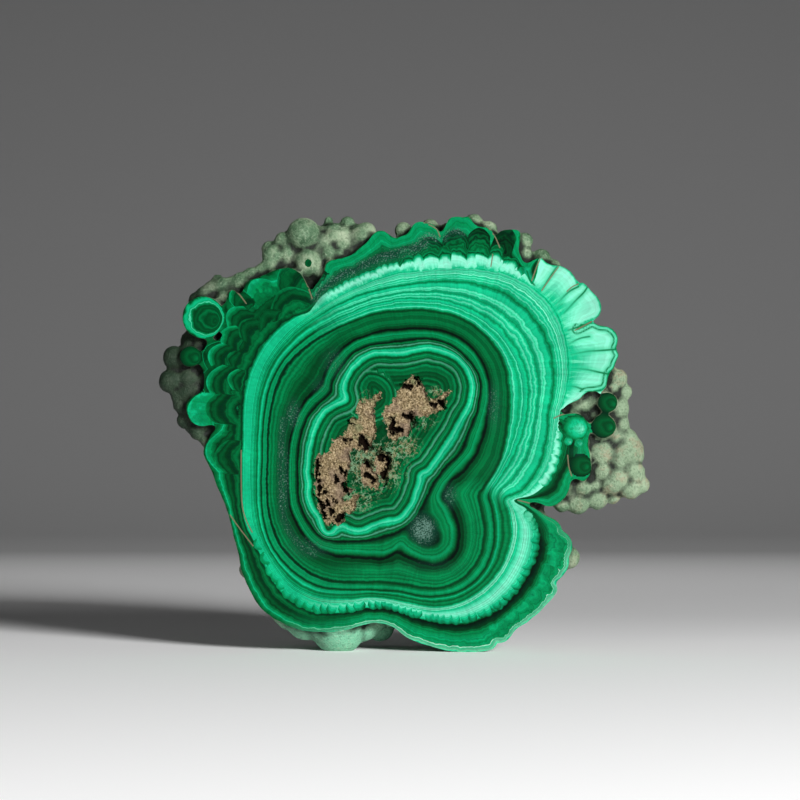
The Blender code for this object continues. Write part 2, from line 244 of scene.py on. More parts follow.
FIRST_DARK_LINE = [
    (400, 310), (420, 309), (437, 311), (452, 314), (466, 320), (479, 329), (491, 341), (500, 354),
    (506, 369), (508, 384), (509, 400), (508, 416), (507, 431), (504, 446), (501, 459), (496, 470),
    (490, 480), (484, 488), (480, 495), (482, 505), (484, 515), (486, 527), (485, 539), (483, 551),
    (478, 562), (471, 572), (462, 580), (451, 586), (439, 589), (426, 589), (413, 587), (400, 585),
    (385, 583), (367, 583), (349, 583), (333, 582), (319, 578), (305, 571), (293, 561), (283, 550),
    (275, 536), (270, 521), (267, 506), (266, 490), (266, 472), (267, 455), (267, 438), (268, 421),
    (271, 404), (275, 388), (281, 373), (289, 361), (300, 350), (312, 341), (325, 333), (339, 326),
    (354, 320), (370, 314), (385, 311),
]
SECOND_DARK_LINE = [
    (400, 300), (420, 300), (437, 301), (455, 305), (472, 312), (487, 321), (500, 332), (511, 346),
    (519, 361), (524, 377), (526, 393), (525, 409), (522, 425), (517, 439), (512, 453), (505, 465),
    (498, 477), (492, 487), (489, 496), (492, 505), (494, 516), (495, 528), (495, 541), (492, 554),
    (487, 567), (479, 578), (468, 587), (456, 593), (442, 596), (427, 597), (413, 595), (400, 592),
    (385, 591), (367, 590), (350, 590), (333, 589), (317, 586), (302, 578), (289, 568), (278, 556),
    (270, 543), (265, 528), (262, 512), (261, 495), (261, 477), (262, 460), (262, 442), (263, 424),
    (265, 407), (268, 391), (274, 376), (281, 363), (291, 351), (302, 341), (314, 332), (327, 325),
    (341, 318), (356, 312), (371, 306), (386, 303),
]
PALE_ZONE_STARTS = [
    (400, 283), (419, 280), (438, 278), (457, 278), (476, 280), (494, 284), (510, 291), (524, 301),
    (536, 313), (546, 327), (553, 343), (557, 360), (558, 378), (556, 395), (552, 412), (551, 430),
    (549, 447), (545, 462), (538, 476), (529, 488), (518, 496), (506, 500), (509, 509), (511, 521),
    (512, 535), (509, 549), (504, 563), (496, 575), (486, 586), (474, 595), (461, 602), (447, 606),
    (432, 607), (416, 604), (401, 601), (385, 598), (368, 597), (351, 599), (334, 599), (318, 597),
    (304, 592), (291, 584), (281, 573), (272, 560), (264, 546), (258, 531), (255, 516), (253, 500),
    (253, 483), (253, 465), (253, 447), (254, 430), (255, 413), (257, 396), (261, 380), (267, 365),
    (276, 351), (287, 338), (299, 326), (313, 317), (328, 307), (344, 299), (361, 292), (380, 287),
]
THIN_GREEN_LINE = [
    (400, 272), (415, 271), (430, 269), (445, 268), (460, 267), (475, 268), (490, 270), (505, 273),
    (520, 279), (533, 287), (545, 298), (555, 311), (562, 326), (566, 342), (568, 358), (568, 375),
    (566, 392), (561, 410), (557, 428), (554, 446), (549, 462), (541, 477), (531, 489), (520, 497),
    (509, 500), (513, 509), (516, 521), (516, 535), (513, 550), (507, 564), (499, 577), (488, 589),
    (476, 598), (462, 605), (447, 609), (432, 610), (416, 608), (401, 605), (385, 601), (368, 600),
    (351, 602), (334, 603), (318, 601), (303, 595), (290, 587), (279, 575), (270, 562), (262, 547),
    (256, 532), (252, 516), (251, 500), (250, 480), (250, 460), (251, 440), (252, 420), (254, 400),
    (258, 381), (264, 365), (273, 350), (284, 336), (297, 324), (311, 314), (326, 304), (341, 295),
    (356, 288), (371, 281), (386, 276),
]
# Where the pale zone ends. Over the pale lobes at the right it runs outside the face, because there
# the lobes' own edges end it.
PALE_ZONE_ENDS = [
    (314, 305), (320, 297), (330, 290), (340, 286), (352, 279), (364, 274), (376, 269), (388, 265),
    (400, 261), (412, 258), (424, 256), (438, 255), (452, 254), (466, 254), (480, 254), (494, 256),
    (506, 260), (517, 266), (526, 274), (532, 284), (537, 272), (541, 250), (560, 232), (620, 265),
    (655, 340),
    (640, 392), (600, 410), (570, 405), (556, 418), (560, 432), (561, 448), (557, 464), (551, 477),
    (543, 487), (532, 495), (514, 500), (526, 508), (532, 515), (537, 524), (539, 534), (538, 546),
    (535, 558), (530, 570), (524, 581), (516, 592), (507, 601), (498, 609), (488, 615), (476, 620),
    (462, 623), (447, 623), (432, 621), (418, 618), (404, 613), (390, 609), (376, 608), (364, 608),
    (350, 612), (332, 613), (314, 612), (300, 606), (288, 598), (278, 588), (270, 576), (264, 564),
    (259, 552), (253, 540), (247, 528), (243, 515), (242, 500), (242, 480), (242, 460), (243, 440),
    (243, 420), (244, 400), (247, 384), (251, 370), (257, 357), (264, 345), (273, 334), (284, 324),
    (297, 316), (308, 312),
]
GROWTH_LINES = [
    BRIGHT_RING, DARK_SEAM, GREEN_RING, BLACK_BAND, FIRST_DARK_LINE, SECOND_DARK_LINE,
    PALE_ZONE_STARTS, THIN_GREEN_LINE, PALE_ZONE_ENDS,
]
# How far the growth had got at each line and at the face's edge. One is about a pixel.
GROWTH_AT = [44, 54, 62, 68, 88, 98, 113, 123, 150, 180]

# The smaller nucleus at the lower right, and the eye of fine arcs above the left hollow.
NUCLEUS = [
    (418, 513), (424, 516), (430, 520), (434, 526), (437, 533), (438, 539), (434, 543), (428, 545),
    (421, 543), (415, 539), (411, 534), (409, 529), (413, 524), (416, 518),
]
EYE = (371, 396)
EYE_RADIUS = 26
EYE_DEPTH = 12  # how far inside the bright ring the growth stood at the eye's edge

# Rounded ends of the outer growth: column and row of the end, half width and length in pixels, how
# far the growth had got there, and by how much it was less each pixel inwards. A later one lies
# over an earlier one.
FINGERS = [
    (282, 266, 25, 40, 169.5, 0.45), (252, 280, 14, 26, 173, 0.16), (231, 290, 9, 26, 172, 0.6),
    (285, 270, 15, 16, 168, 0.5), (228, 310, 13, 24, 173.5, 0.75), (283, 288, 24, 26, 170.5, 0.75),
    (221, 332, 13, 24, 173.5, 0.75), (203, 351, 15, 14, 168, 0.4), (240, 322, 12, 20, 169.5, 0.6),
    (208, 352, 14, 24, 174.4, 0.85), (201, 378, 18, 12, 165, 0.4), (206, 379, 18, 28, 174.2, 0.85),
    (187, 409, 18, 26, 174.0, 0.10), (205, 408, 15, 34, 170.5, 0.6), (227, 355, 8, 12, 170, 0.7),
    (227, 377, 11, 16, 173, 0.9), (262, 312, 15, 12, 168, 0.6),
    (205, 450, 21, 26, 174, 0.6), (214, 456, 17, 26, 171, 0.7),
    (564, 526, 8, 16, 172, 0.25), (573, 545, 12, 24, 174, 0.35), (569, 563, 10, 20, 172, 0.2),
    (561, 578, 8, 20, 174, 0.3), (557, 590, 8, 20, 172, 0.2), (546, 605, 9, 20, 173, 0.3),
    (534, 617, 9, 18, 172, 0.2), (520, 628, 9, 18, 173, 0.3), (505, 641, 9, 20, 172, 0.2),
    (509, 227, 11, 34, 164, 0.22), (480, 227, 11, 38, 161, 0.40), (456, 229, 13, 44, 161, 0.46),
    (429, 236, 12, 36, 160.5, 0.52), (404, 246, 10, 22, 158, 0.5), (499, 244, 6.5, 28, 154, 0.40),
    (445, 245, 6.5, 28, 154, 0.40), (471, 249, 4.5, 22, 152, 0.40), (417, 251, 5, 18, 152, 0.4),
    (509, 256, 4, 16, 152, 0.4), (517, 258, 5, 18, 152, 0.4), (525, 267, 4.5, 14, 152, 0.4),
]
LEAST_OUTER_FINGER = 165  # growth at the end of a finger that stands outside the pale zone
FINGER_FADES = 0.5  # share of its length over which a finger of the pale zone fades at its root
FINGER_BEND = 0.72  # how far its round end falls back at the sides, in half widths
FINGER_FLANK = 0.5  # share of its length that the mesh follows
EDGE_STRIP = 4.5  # how wide the strip is that stays outside the fingers of the lower lobe
EDGE_STRIP_CORNER = (400, 505)  # it lies right of and below this
# Growth past the start of its zone that a finger brings at least.
OUTER_FINGER_LEAST = 1.5
PALE_FINGER_LEAST = 8

# Unevenness of the growth: size in pixels, height in the outer growth and inside it.
WOBBLE = ((9, 1.8, 0.7), (3.5, 1.1, 0.3))
WOBBLE_LAYER = 4  # of the noise

# Where the pale zone ends in a fringe: from one place to another, and the fringe's step.
FRINGES = [
    ((330, 288), (412, 256), 6), ((252, 548), (300, 605), 9), ((300, 605), (388, 610), 8),
    ((388, 610), (500, 607), 7), ((500, 607), (538, 540), 7), ((538, 540), (527, 506), 7),
    ((562, 436), (545, 484), 8),
]
FRINGE_SEED = 3
FRINGE_SHIFT = 0.25  # how far a finger may stand from its even place, in steps
FRINGE_OUT = (0.5, 3.0)  # how far outside the edge of the pale zone it ends
FRINGE_WIDTH = (0.58, 0.75)  # half its width, in steps
FRINGE_LENGTH = 1.2  # in steps
FRINGE_GROWTH = 150.2  # growth at its end
FRINGE_SLOPE = 0.35  # growth over a pixel along it

# Lines where the pale lobes at the right meet. Below LOBE_RIM_ROW the lobes end in a double rim.
LOBE_SEAMS = [
    [(541, 291), (549, 278), (557, 266)], [(555, 306), (564, 296), (571, 290), (579, 286)],
    [(564, 313), (575, 301), (584, 292), (588, 286)], [(551, 314), (557, 308), (563, 303)],
    [(568, 330), (577, 327), (585, 324), (592, 321)], [(571, 354), (588, 351), (602, 350), (616, 349)],
    [(572, 368), (586, 369), (600, 372), (610, 374)], [(566, 386), (574, 386), (583, 389)],
    [(570, 343), (580, 338), (590, 336)], [(535, 285), (530, 279), (527, 270)],
]
LOBE_RIM_ROW = 322
LOBE_RIM_ENDS = 392  # row
LOBE_RIM_STARTS = 566  # column
LOBE_RIM = 4.2  # how far inside the edge the second rim lies

# Open cracks with brown walls, and hairlines.
CRACKS = [
    [(312, 298), (307, 284), (301, 272), (296, 264)],
    [(246, 303), (240, 295), (235, 290)],
    [(500, 247), (495, 236), (488, 227), (477, 219), (468, 214)],
    [(440, 236), (436, 228), (424, 222)],
    [(532, 280), (537, 266), (541, 257)],
    [(542, 290), (551, 277), (559, 266)],
    [(567, 291), (573, 286), (580, 283)],
    [(575, 330), (583, 326), (592, 321)],
    [(491, 266), (493, 253)],
    [(241, 450), (241, 480), (242, 505), (246, 520), (252, 532)],
    [(230, 515), (240, 529), (253, 546)],
    [(518, 500), (530, 503), (545, 507)],
    [(568, 455), (569, 466), (572, 476)],
    [(554, 418), (563, 414), (575, 412)],
]

# Knobs that the saw cut through: column, row, radius in pixels and the kind of cut, from 0 for a
# dark one over 0.5 for one with a mint rim to 1 for a pale one.
CUT_KNOBS = [
    (203, 317, 21.5, 0.5), (190, 356, 12.5, 0.0), (308, 262, 8.0, 0.0), (575, 427, 14.0, 1.0),
    (568, 441, 5.0, 0.9), (579, 443, 5.0, 0.8), (581, 465, 12.5, 0.0), (608, 402, 12.0, 0.0),
    (604, 425, 14.0, 0.0),
]
KNOB_SHIFT = 0.62  # how far off the innermost ring lies, in radii
KNOB_SHIFT_WAY = (1, 0.3)
KNOB_PASSES = 4  # until the shifted ring of a point is found
NO_KNOB = 2.0  # radii, more than any ring has

# Earthy hollows, and the pits in them, whose deepest floors are painted black as shade: column and row
# of both ends, and radius in pixels.
HOLLOWS = [
    [
        (383, 392), (380, 397), (376, 404), (374, 412), (375, 420), (376, 428), (375, 436),
        (371, 441), (371, 446), (366, 452), (361, 450), (356, 448), (352, 450), (350, 456),
        (350, 464), (348, 472), (346, 478), (345, 484), (348, 488), (354, 488), (353, 492),
        (346, 494), (342, 497), (346, 500), (352, 498), (358, 494), (360, 497), (357, 503),
        (355, 509), (350, 513), (345, 513), (344, 518), (342, 524), (338, 525), (333, 523),
        (328, 526), (323, 519), (319, 508), (316, 495), (315, 480), (314, 470), (315, 462),
        (317, 456), (322, 454), (330, 452), (331, 444), (336, 438), (342, 436), (347, 430),
        (350, 423), (352, 416), (357, 419), (358, 412), (357, 405), (359, 398), (362, 402),
        (366, 400), (372, 397), (378, 393),
    ],
    [
        (412, 376), (418, 378), (421, 383), (425, 389), (428, 397), (432, 400), (437, 398),
        (442, 394), (448, 391), (452, 391), (447, 396), (445, 401), (444, 408), (437, 411),
        (430, 414), (424, 416), (417, 416), (412, 420), (411, 428), (408, 435), (401, 437),
        (395, 440), (391, 438), (388, 432), (386, 424), (382, 416), (384, 409), (388, 405),
        (392, 400), (397, 396), (400, 388), (405, 381),
    ],
    [
        (361, 464), (367, 459), (370, 464), (372, 470), (378, 476), (379, 484), (377, 489),
        (370, 486), (365, 486), (362, 478), (361, 470),
    ],
    [
        (374, 462), (377, 455), (382, 453), (390, 457), (390, 463), (389, 470), (386, 478),
        (383, 482), (380, 478), (376, 470),
    ],
]
HOLLOW_DEPTH = 0.0009
HOLLOW_ROUGHNESS = 0.0006
PIT_SHARE = 0.85  # of the radius that is listed
HOLLOW_MARGIN = 4.5  # how far outside the outlines the edges crumble
HOLLOW_CRUMBLES = (2.6, 1.3)
CRUMB_SIZES = (4.5, 1.8)  # of the coarse and the fine crumbs
FINE_CRUMBS = 0.8  # height of the fine ones in the floor against the coarse
HOLLOW_WALL = 1.6  # how wide the walls of a hollow are
OUTSIDE_HOLLOWS = -6.0  # pixels into a hollow, for all that isn't polished
PITS = [
    (317, 459, 316, 478, 1.5), (319, 481, 318, 500, 1.6), (321, 504, 325, 517, 2.2),
    (336, 521, 342, 516, 2.8), (336, 479, 338, 480, 2.2), (344, 484, 347, 491, 2.4),
    (361, 440, 367, 447, 4.6), (345, 440, 350, 443, 1.3), (392, 421, 394, 432, 3.4),
    (404, 385, 409, 386, 2.8), (416, 379, 418, 383, 2.3), (441, 401, 443, 407, 2.4),
    (431, 405, 437, 403, 1.5), (411, 414, 413, 425, 1.9), (379, 455, 388, 458, 4.3),
    (388, 463, 389, 469, 2.4), (383, 473, 385, 481, 3.0), (365, 461, 369, 465, 2.3),
    (366, 475, 373, 479, 2.8), (327, 502, 329, 505, 1.2), (331, 510, 332, 514, 1.4),
    (333, 499, 334, 500, 1.0), (325, 491, 326, 492, 1.0), (340, 468, 345, 474, 1.0),
    (399, 428, 401, 430, 1.4), (404, 415, 408, 418, 1.5), (349, 421, 351, 424, 1.0),
]
PIT_DEPTH = 0.0022
PIT_CRUMBLES = (4.5, 3.5)  # coarse and fine
PIT_WALL = (1.2, 1.0)  # how far its wall reaches outside and inside its edge

# Patches of grey specks, and the earthy mottling between the hollows: column, row, half width,
# half height in pixels, and strength.
SPECK_PATCHES = [
    (284, 480, 6, 46, 0.9), (293, 414, 9, 17, 1.0), (309, 548, 24, 11, 0.8), (334, 362, 14, 17, 0.7),
    (494, 405, 8, 26, 0.9), (450, 496, 9, 14, 1.0), (423, 530, 15, 17, 1.6), (320, 385, 10, 10, 0.6),
    (430, 566, 40, 7, 0.35), (345, 282, 26, 8, 0.5), (400, 249, 26, 6, 0.5), (429, 240, 14, 7, 0.4),
    (459, 234, 15, 6, 0.4), (372, 262, 22, 6, 0.5), (500, 470, 14, 18, 0.2), (578, 452, 9, 5, 0.6),
]
PATCH_FADES = (1.6, 1.3)  # strength in its middle before it is capped at 1, and its fall to the edge
SPECK_LINE_FADES = (1.5, 0.6)  # from nothing to full strength, in half widths
# Lines along which specks lie too, with their half widths.
SPECK_LINES = [
    (
        [
            (316, 298), (324, 286), (336, 278), (352, 270), (370, 262), (390, 255), (408, 250),
            (424, 243),
        ], 6,
    ),
    ([(419, 241), (424, 237), (430, 235), (437, 238)], 4),
    ([(445, 238), (449, 232), (456, 230), (463, 233)], 3.5),
    ([(283, 420), (281, 450), (281, 490), (284, 520), (296, 541), (314, 554)], 4),
]
MOTTLED_PATCHES = [
    (376, 466, 34, 30, 1.0), (404, 446, 20, 14, 0.9), (356, 500, 26, 14, 0.7), (436, 391, 9, 6, 0.9),
    (420, 420, 22, 12, 0.6), (366, 410, 10, 22, 0.8),
]

# Where the bands of the right side and of the lower lobe hold: angles round a place, in degrees.
SIDES_MEET = (400, 430)
RIGHT_STARTS = (-38, -30)
RIGHT_ENDS = (132, 112)
LOWER_STARTS = (-30, -38)
LOWER_ENDS = (-122, -100)

# How the points of the sawn faces are laid out, in pixels.
FRONT_WINDOW = ((170, 205), (640, 665))
BACK_WINDOW = ((170, 205), (645, 665))
HOLLOW_WINDOW = ((300, 365), (465, 540))
LINE_STEP = 1.5  # along cracks and seams
CRACK_OFFSET = 1.1  # more points stand this far beside a crack
SEAM_OFFSET = 1.0
FINGER_STEP = 1.3
FINGER_OFFSET = 0.35
PALE_EDGE_STEP = 1.6
GUIDE_GAP = 0.62  # least distance between the points that follow lines
HOLLOW_GAP = 0.8
INNER_GAP = 1.4
OUTER_GAP = 1.0
FRONT_RIM_GAP = 0.9  # least distance from the sawn edge
BACK_RIM_GAP = 2.0

FAR_AWAY = 12.0  # pixels, the most that the materials hear of a distance to a line
AT_ONCE = 4000  # points whose distances are worked out together
SAWN_WITHIN = 1e-5  # metres from the plane of the saw
CREVICE_REACH = 6  # in edges of the mesh
SHARP_ANGLE = 50  # degrees
SLAB_NAME = "malachite_slab_growth"
STONE_SHARE = 0.62  # how bright the stone's colours are against those of the paper


def at(column, row, depth=0.0):
    """The place of a pixel of the photograph on the polished face, or that far behind it."""
    x = (column - MIDDLE_PIXEL) * PIXEL
    return Vector((x, FRONT + depth, (GROUND_PIXEL - row) * PIXEL))


def srgb(red, green, blue):
    """A colour given from 0 to 255, as the shaders want it."""

    def linear(value):
        value /= 255
        return value / 12.92 if value <= 0.04045 else ((value + 0.055) / 1.055) ** 2.4

    return (linear(red), linear(green), linear(blue), 1)


def stone(red, green, blue):
    """A colour of the slab as the photograph shows it, under a key light brighter than white paper."""
    return tuple(STONE_SHARE * value for value in srgb(red, green, blue)[:3]) + (1,)


def smooth_outline(points, pieces=4, closed=True):
    """The points joined by a smooth curve through them all, as an array."""
    p = np.array(points, float)
    if closed:
        before, after, later = np.roll(p, 1, 0), np.roll(p, -1, 0), np.roll(p, -2, 0)
    else:
        before = np.vstack([p[:1], p[:-2]])
        after, later, p = p[1:], np.vstack([p[2:], p[-1:]]), p[:-1]
    curve = []
    for t in np.arange(pieces) / pieces:
        curve.append(
            0.5 * (2 * p + (after - before) * t + (2 * before - 5 * p + 4 * after - later) * t**2)
            + 0.5 * (3 * p - before - 3 * after + later) * t**3
        )
    joined = np.stack(curve, 1).reshape(-1, 2)
    return joined if closed else np.vstack([joined, after[-1:]])


# The fingers and the fringe stand on this line.
PALE_EDGE = smooth_outline(PALE_ZONE_ENDS, 8)


def distance_to(points, line, closed=True):
    """How far each point is from a line, in pixels."""
    start = line if closed else line[:-1]
    side = (np.roll(line, -1, 0) - line) if closed else np.diff(line, axis=0)
    length = np.maximum((side**2).sum(1), 1e-12)
    nearest = np.empty(len(points))
    for first in range(0, len(points), AT_ONCE):
        from_start = points[first : first + AT_ONCE, None] - start
        share = np.clip((from_start * side).sum(2) / length, 0, 1)
        gap = from_start - side * share[..., None]
        nearest[first : first + AT_ONCE] = np.sqrt((gap**2).sum(2).min(1))
    return nearest


def from_lines(points, lines, pieces=4):
    """How far each point is from the nearest of some open lines."""
    return np.minimum.reduce(
        [distance_to(points, smooth_outline(line, pieces, False), False) for line in lines]
    )


def enclosed(points, starts, ends):
    """Whether each point is inside closed lines, by counting the sides to its right."""
    odd = np.zeros(len(points), bool)
    for (ax, ay), (bx, by) in zip(starts, ends):
        if ay == by:
            continue
        crosses = (points[:, 1] < ay) != (points[:, 1] < by)
        odd ^= crosses & (points[:, 0] < ax + (points[:, 1] - ay) / (by - ay) * (bx - ax))
    return odd


def inside(points, line):
    return enclosed(points, line, np.roll(line, -1, 0))


def soft_patches(points, patches):
    """How strongly each point lies in any of the patches, fading at their edges."""
    strongest = np.zeros(len(points))
    reach, fall = PATCH_FADES
    for column, row, half_width, half_height, strength in patches:
        away = np.hypot((points[:, 0] - column) / half_width, (points[:, 1] - row) / half_height)
        strongest = np.maximum(strongest, strength * np.clip(reach - fall * away, 0, 1))
    return strongest


def speck_field(points):
    """How thickly the grey specks lie at each point, in patches and along lines."""
    strongest = soft_patches(points, SPECK_PATCHES)
    nothing, full = SPECK_LINE_FADES
    for line, half_width in SPECK_LINES:
        away = from_lines(points, [line])
        strongest = np.maximum(strongest, ramp_between(away, half_width * nothing, half_width * full))
    return strongest


def ramp_between(value, low, high):
    return np.clip((value - low) / (high - low), 0, 1)


def shrunk(outline, share):
    """The outline drawn in towards the middle of the slab."""
    return [tuple(m + (p - m) * share for p, m in zip(point, MIDDLE)) for point in outline]


def prism(bm, outline, front_depth, back_depth):
    """A closed prism over an outline, between two depths."""
    curve = smooth_outline(outline, 3)
    corners = [bm.verts.new(at(column, row, front_depth)) for column, row in curve]
    cap = bm.faces.new(corners)
    moved = bmesh.ops.extrude_face_region(bm, geom=[cap], use_keep_orig=True)
    far = [part for part in moved["geom"] if isinstance(part, bmesh.types.BMVert)]
    bmesh.ops.translate(bm, verts=far, vec=(0, back_depth - front_depth, 0))


def along(outline, distance):
    """The place that far along a closed outline, with its outward direction."""
    corners = [at(column, row) for column, row in outline]
    for corner, following in zip(corners, corners[1:] + corners[:1]):
        side = following - corner
        if distance < side.length:
            return corner + side * distance / side.length, Vector((-side.z, 0, side.x)).normalized()
        distance -= side.length
    raise ValueError("the outline is shorter than that")


def rim_lumps():
    """Centres and radii of the lumps round the body, the same as the solid's."""
    rng = random.Random(RIM_SEED)
    corners = [at(column, row) for column, row in BODY_OUTLINE]
    round_trip = sum((b - a).length for a, b in zip(corners, corners[1:] + corners[:1]))
    radii = sorted((rng.uniform(*RIM_RADII) for _ in range(RIM_TRIES)), reverse=True)
    kept = []
    for radius in radii:
        place, outward = along(BODY_OUTLINE, rng.uniform(0, round_trip * 0.999))
        centre = place + outward * (rng.uniform(*RIM_STANDS_OUT) - radius)
        centre.y += rng.uniform(*RIM_DEPTHS)
        if all((centre - c).length > RIM_CLOSEST * (radius + r) for c, r in kept):
            kept.append((centre, radius))
    return kept


def all_lumps():
    lumps = rim_lumps()
    for column in FOOT_COLUMNS:
        lumps += [(at(column, FOOT_ROW, depth), FOOT_RADIUS * PIXEL) for depth in FOOT_DEPTHS]
    for column, row, depth, radius in TOP_LEFT_LUMPS + LEFT_LUMPS + RIGHT_LUMPS + TOP_LUMPS:
        lumps.append((at(column, row, depth * LUMPS_NEARER), radius * PIXEL))
    lumps += [(at(column, row, depth), radius * PIXEL) for column, row, depth, radius in LOWER_LUMPS]
    return lumps


def filler_lumps():
    """Small lumps over what shows of the body in front, outside the polished face."""
    rng = np.random.default_rng(FILLER_SEED)
    low, high = zip((LEFT_PIXEL, RIGHT_PIXEL), FILLER_ROWS)
    spots = rng.uniform(low, high, (FILLER_TRIES, 2))
    shows = inside(spots, np.array(BODY_OUTLINE)) & ~inside(spots, np.array(FACE_OUTLINE))
    kept = []
    for column, row in spots[shows]:
        radius = rng.uniform(*FILLER_RADII)
        centre = at(column, row, rng.uniform(*FILLER_DEPTHS))
        if all((centre - c).length > FILLER_CLOSEST * (radius + r) for c, r in kept):
            kept.append((centre, radius))
    return kept


def buds(lumps):
    """Small lumps on the outer side of the others."""
    rng = random.Random(BUD_SEED)
    middle = Vector(SLAB_MIDDLE)
    small = []
    for centre, radius in lumps:
        for _ in range(BUDS_PER_LUMP):
            outward = (centre - middle).normalized()
            turned = Vector((rng.gauss(0, 1), rng.gauss(0, 1), rng.gauss(0, 1)))
            direction = (outward * BUD_OUTWARD + turned.normalized()).normalized()
            size = radius * rng.uniform(*BUD_SHARE)
            small.append((centre + direction * (radius - size * BUD_SUNK), size))
    return small


def fused(bm, voxel):
    """Everything in bm joined into one skin, as a bmesh."""
    mesh = bpy.data.meshes.new("fused")
    bm.to_mesh(mesh)
    bm.free()
    lumpy = placed("fused", mesh)
    remesh = lumpy.modifiers.new("fuse", "REMESH")
    remesh.mode = "VOXEL"
    remesh.voxel_size = voxel
    bpy.context.view_layer.update()
    skin = bmesh.new()
    skin.from_mesh(lumpy.evaluated_get(bpy.context.evaluated_depsgraph_get()).to_mesh())
    bpy.data.objects.remove(lumpy)
    bpy.data.meshes.remove(mesh)
    return skin


def roughen(bm):
    bm.normal_update()
    for vertex in bm.verts:
        for size, height in GRAIN:
            lift = noise.noise(vertex.co / size) * height
            vertex.co += vertex.normal * lift


def saw(bm, place, direction):
    """Cuts off what lies beyond a plane. Returns the edges round the opening."""
    everything = bm.verts[:] + bm.edges[:] + bm.faces[:]
    made = bmesh.ops.bisect_plane(
        bm, geom=everything, plane_co=place, plane_no=direction, clear_outer=True, dist=1e-7
    )
    return [part for part in made["geom_cut"] if isinstance(part, bmesh.types.BMEdge)]


def add_balls(bm, balls, subdivisions):
    """Spheres with these centres and radii, all copies of one."""
    one = bmesh.new()
    bmesh.ops.create_icosphere(one, subdivisions=subdivisions, radius=1)
    corners = np.array([vertex.co for vertex in one.verts])
    sides = np.array([[vertex.index for vertex in face.verts] for face in one.faces])
    one.free()
    centres = np.array([centre for centre, _ in balls])
    radii = np.array([radius for _, radius in balls])
    places = centres[:, None] + corners * radii[:, None, None]
    faces = sides + len(corners) * np.arange(len(balls))[:, None, None]
    mesh = bpy.data.meshes.new("balls")
    mesh.from_pydata(places.reshape(-1, 3).tolist(), [], faces.reshape(-1, 3).tolist())
    bm.from_mesh(mesh)
    bpy.data.meshes.remove(mesh)


def grown_rim():
    """The grown body before the saw, roughened."""
    bm = bmesh.new()
    prism(bm, FACE_OUTLINE, -SAW_ALLOWANCE, CROWN_DEPTH)
    prism(bm, shrunk(FACE_OUTLINE, NECK_SHARE), CROWN_DEPTH - NECK_OVERLAP, NECK_DEPTH)
    prism(bm, shrunk(BODY_OUTLINE, BODY_SHARE), BODY_STARTS, THICKNESS + SAW_ALLOWANCE)
    bmesh.ops.recalc_face_normals(bm, faces=bm.faces)
    add_balls(bm, all_lumps(), LUMP_FINENESS)
    add_balls(bm, filler_lumps() + buds(rim_lumps()), SMALL_LUMP_FINENESS)
    skin = fused(bm, RIM_VOXEL)
    roughen(skin)
    return skin


def hex_grid(low, high, spacing):
    """Points in rows, each row set off by half a step."""
    rows = np.arange(low[1], high[1], spacing * math.sqrt(0.75))
    columns = np.arange(low[0], high[0], spacing)
    grid = np.stack(np.meshgrid(columns, rows), -1)
    grid[1::2, :, 0] += spacing / 2
    return grid.reshape(-1, 2)


def thinned(points, taken, gap):
    """The points that are at least gap away from all of the taken ones."""
    cells = {}
    for x, y in taken:
        cells.setdefault((int(x // gap), int(y // gap)), []).append((x, y))
    kept = []
    for x, y in points:
        column, row = int(x // gap), int(y // gap)
        near = (
            place
            for i in (column - 1, column, column + 1)
            for j in (row - 1, row, row + 1)
            for place in cells.get((i, j), ())
        )
        if all((x - a) ** 2 + (y - b) ** 2 > gap * gap for a, b in near):
            kept.append((x, y))
    return np.array(kept).reshape(-1, 2)


def in_steps(line, step, closed):
    """Points along a line, evenly spaced."""
    ends = np.vstack([line, line[:1]]) if closed else line
    walked = np.concatenate([[0], np.cumsum(np.hypot(*np.diff(ends, axis=0).T))])
    places = np.arange(0, walked[-1], step)
    return np.stack([np.interp(places, walked, ends[:, 0]), np.interp(places, walked, ends[:, 1])], 1)


def beside(line, offset):
    """The line moved sideways."""
    direction = np.gradient(line, axis=0)
    direction /= np.maximum(np.hypot(*direction.T), 1e-9)[:, None]
    return line + np.stack([-direction[:, 1], direction[:, 0]], 1) * offset


def guide_points():
    """Points along the cracks, seams and hollow edges, so that the mesh follows them."""
    guides = []
    for drawn, offset in ((CRACKS, CRACK_OFFSET), (LOBE_SEAMS, SEAM_OFFSET)):
        for points in drawn:
            line = in_steps(smooth_outline(points, 6, closed=False), LINE_STEP, False)
            guides += [line, beside(line, offset), beside(line, -offset)]
    for finger in fringe() + FINGERS:
        line = in_steps(finger_edge(finger), FINGER_STEP, False)
        guides += [beside(line, FINGER_OFFSET), beside(line, -FINGER_OFFSET)]
    guides.append(in_steps(smooth_outline(PALE_ZONE_ENDS, 4), PALE_EDGE_STEP, True))
    kept = np.empty((0, 2))
    for line in guides:
        kept = np.vstack([kept, thinned(line, kept, GUIDE_GAP)])
    return kept


def front_points():
    """Points inside the polished face, closest together where the pattern is finest."""
    guides = guide_points()
    pale_starts = smooth_outline(PALE_ZONE_STARTS)
    outer = hex_grid(*FRONT_WINDOW, OUTER_SPACING)
    outer = outer[~inside(outer, pale_starts)]
    inner = hex_grid(*FRONT_WINDOW, INNER_SPACING)
    inner = inner[inside(inner, pale_starts)]
    fine = hex_grid(*HOLLOW_WINDOW, HOLLOW_SPACING)
    near_hollow = np.zeros(len(fine), bool)
    for hollow in HOLLOWS:
        line = smooth_outline(hollow, 3)
        near_hollow |= inside(fine, line) | (distance_to(fine, line) < HOLLOW_MARGIN)
    fine = thinned(fine[near_hollow], guides, HOLLOW_GAP)
    kept = np.vstack([guides, fine])
    kept = np.vstack([kept, thinned(inner, kept, INNER_GAP)])
    return np.vstack([kept, thinned(outer, kept, OUTER_GAP)])


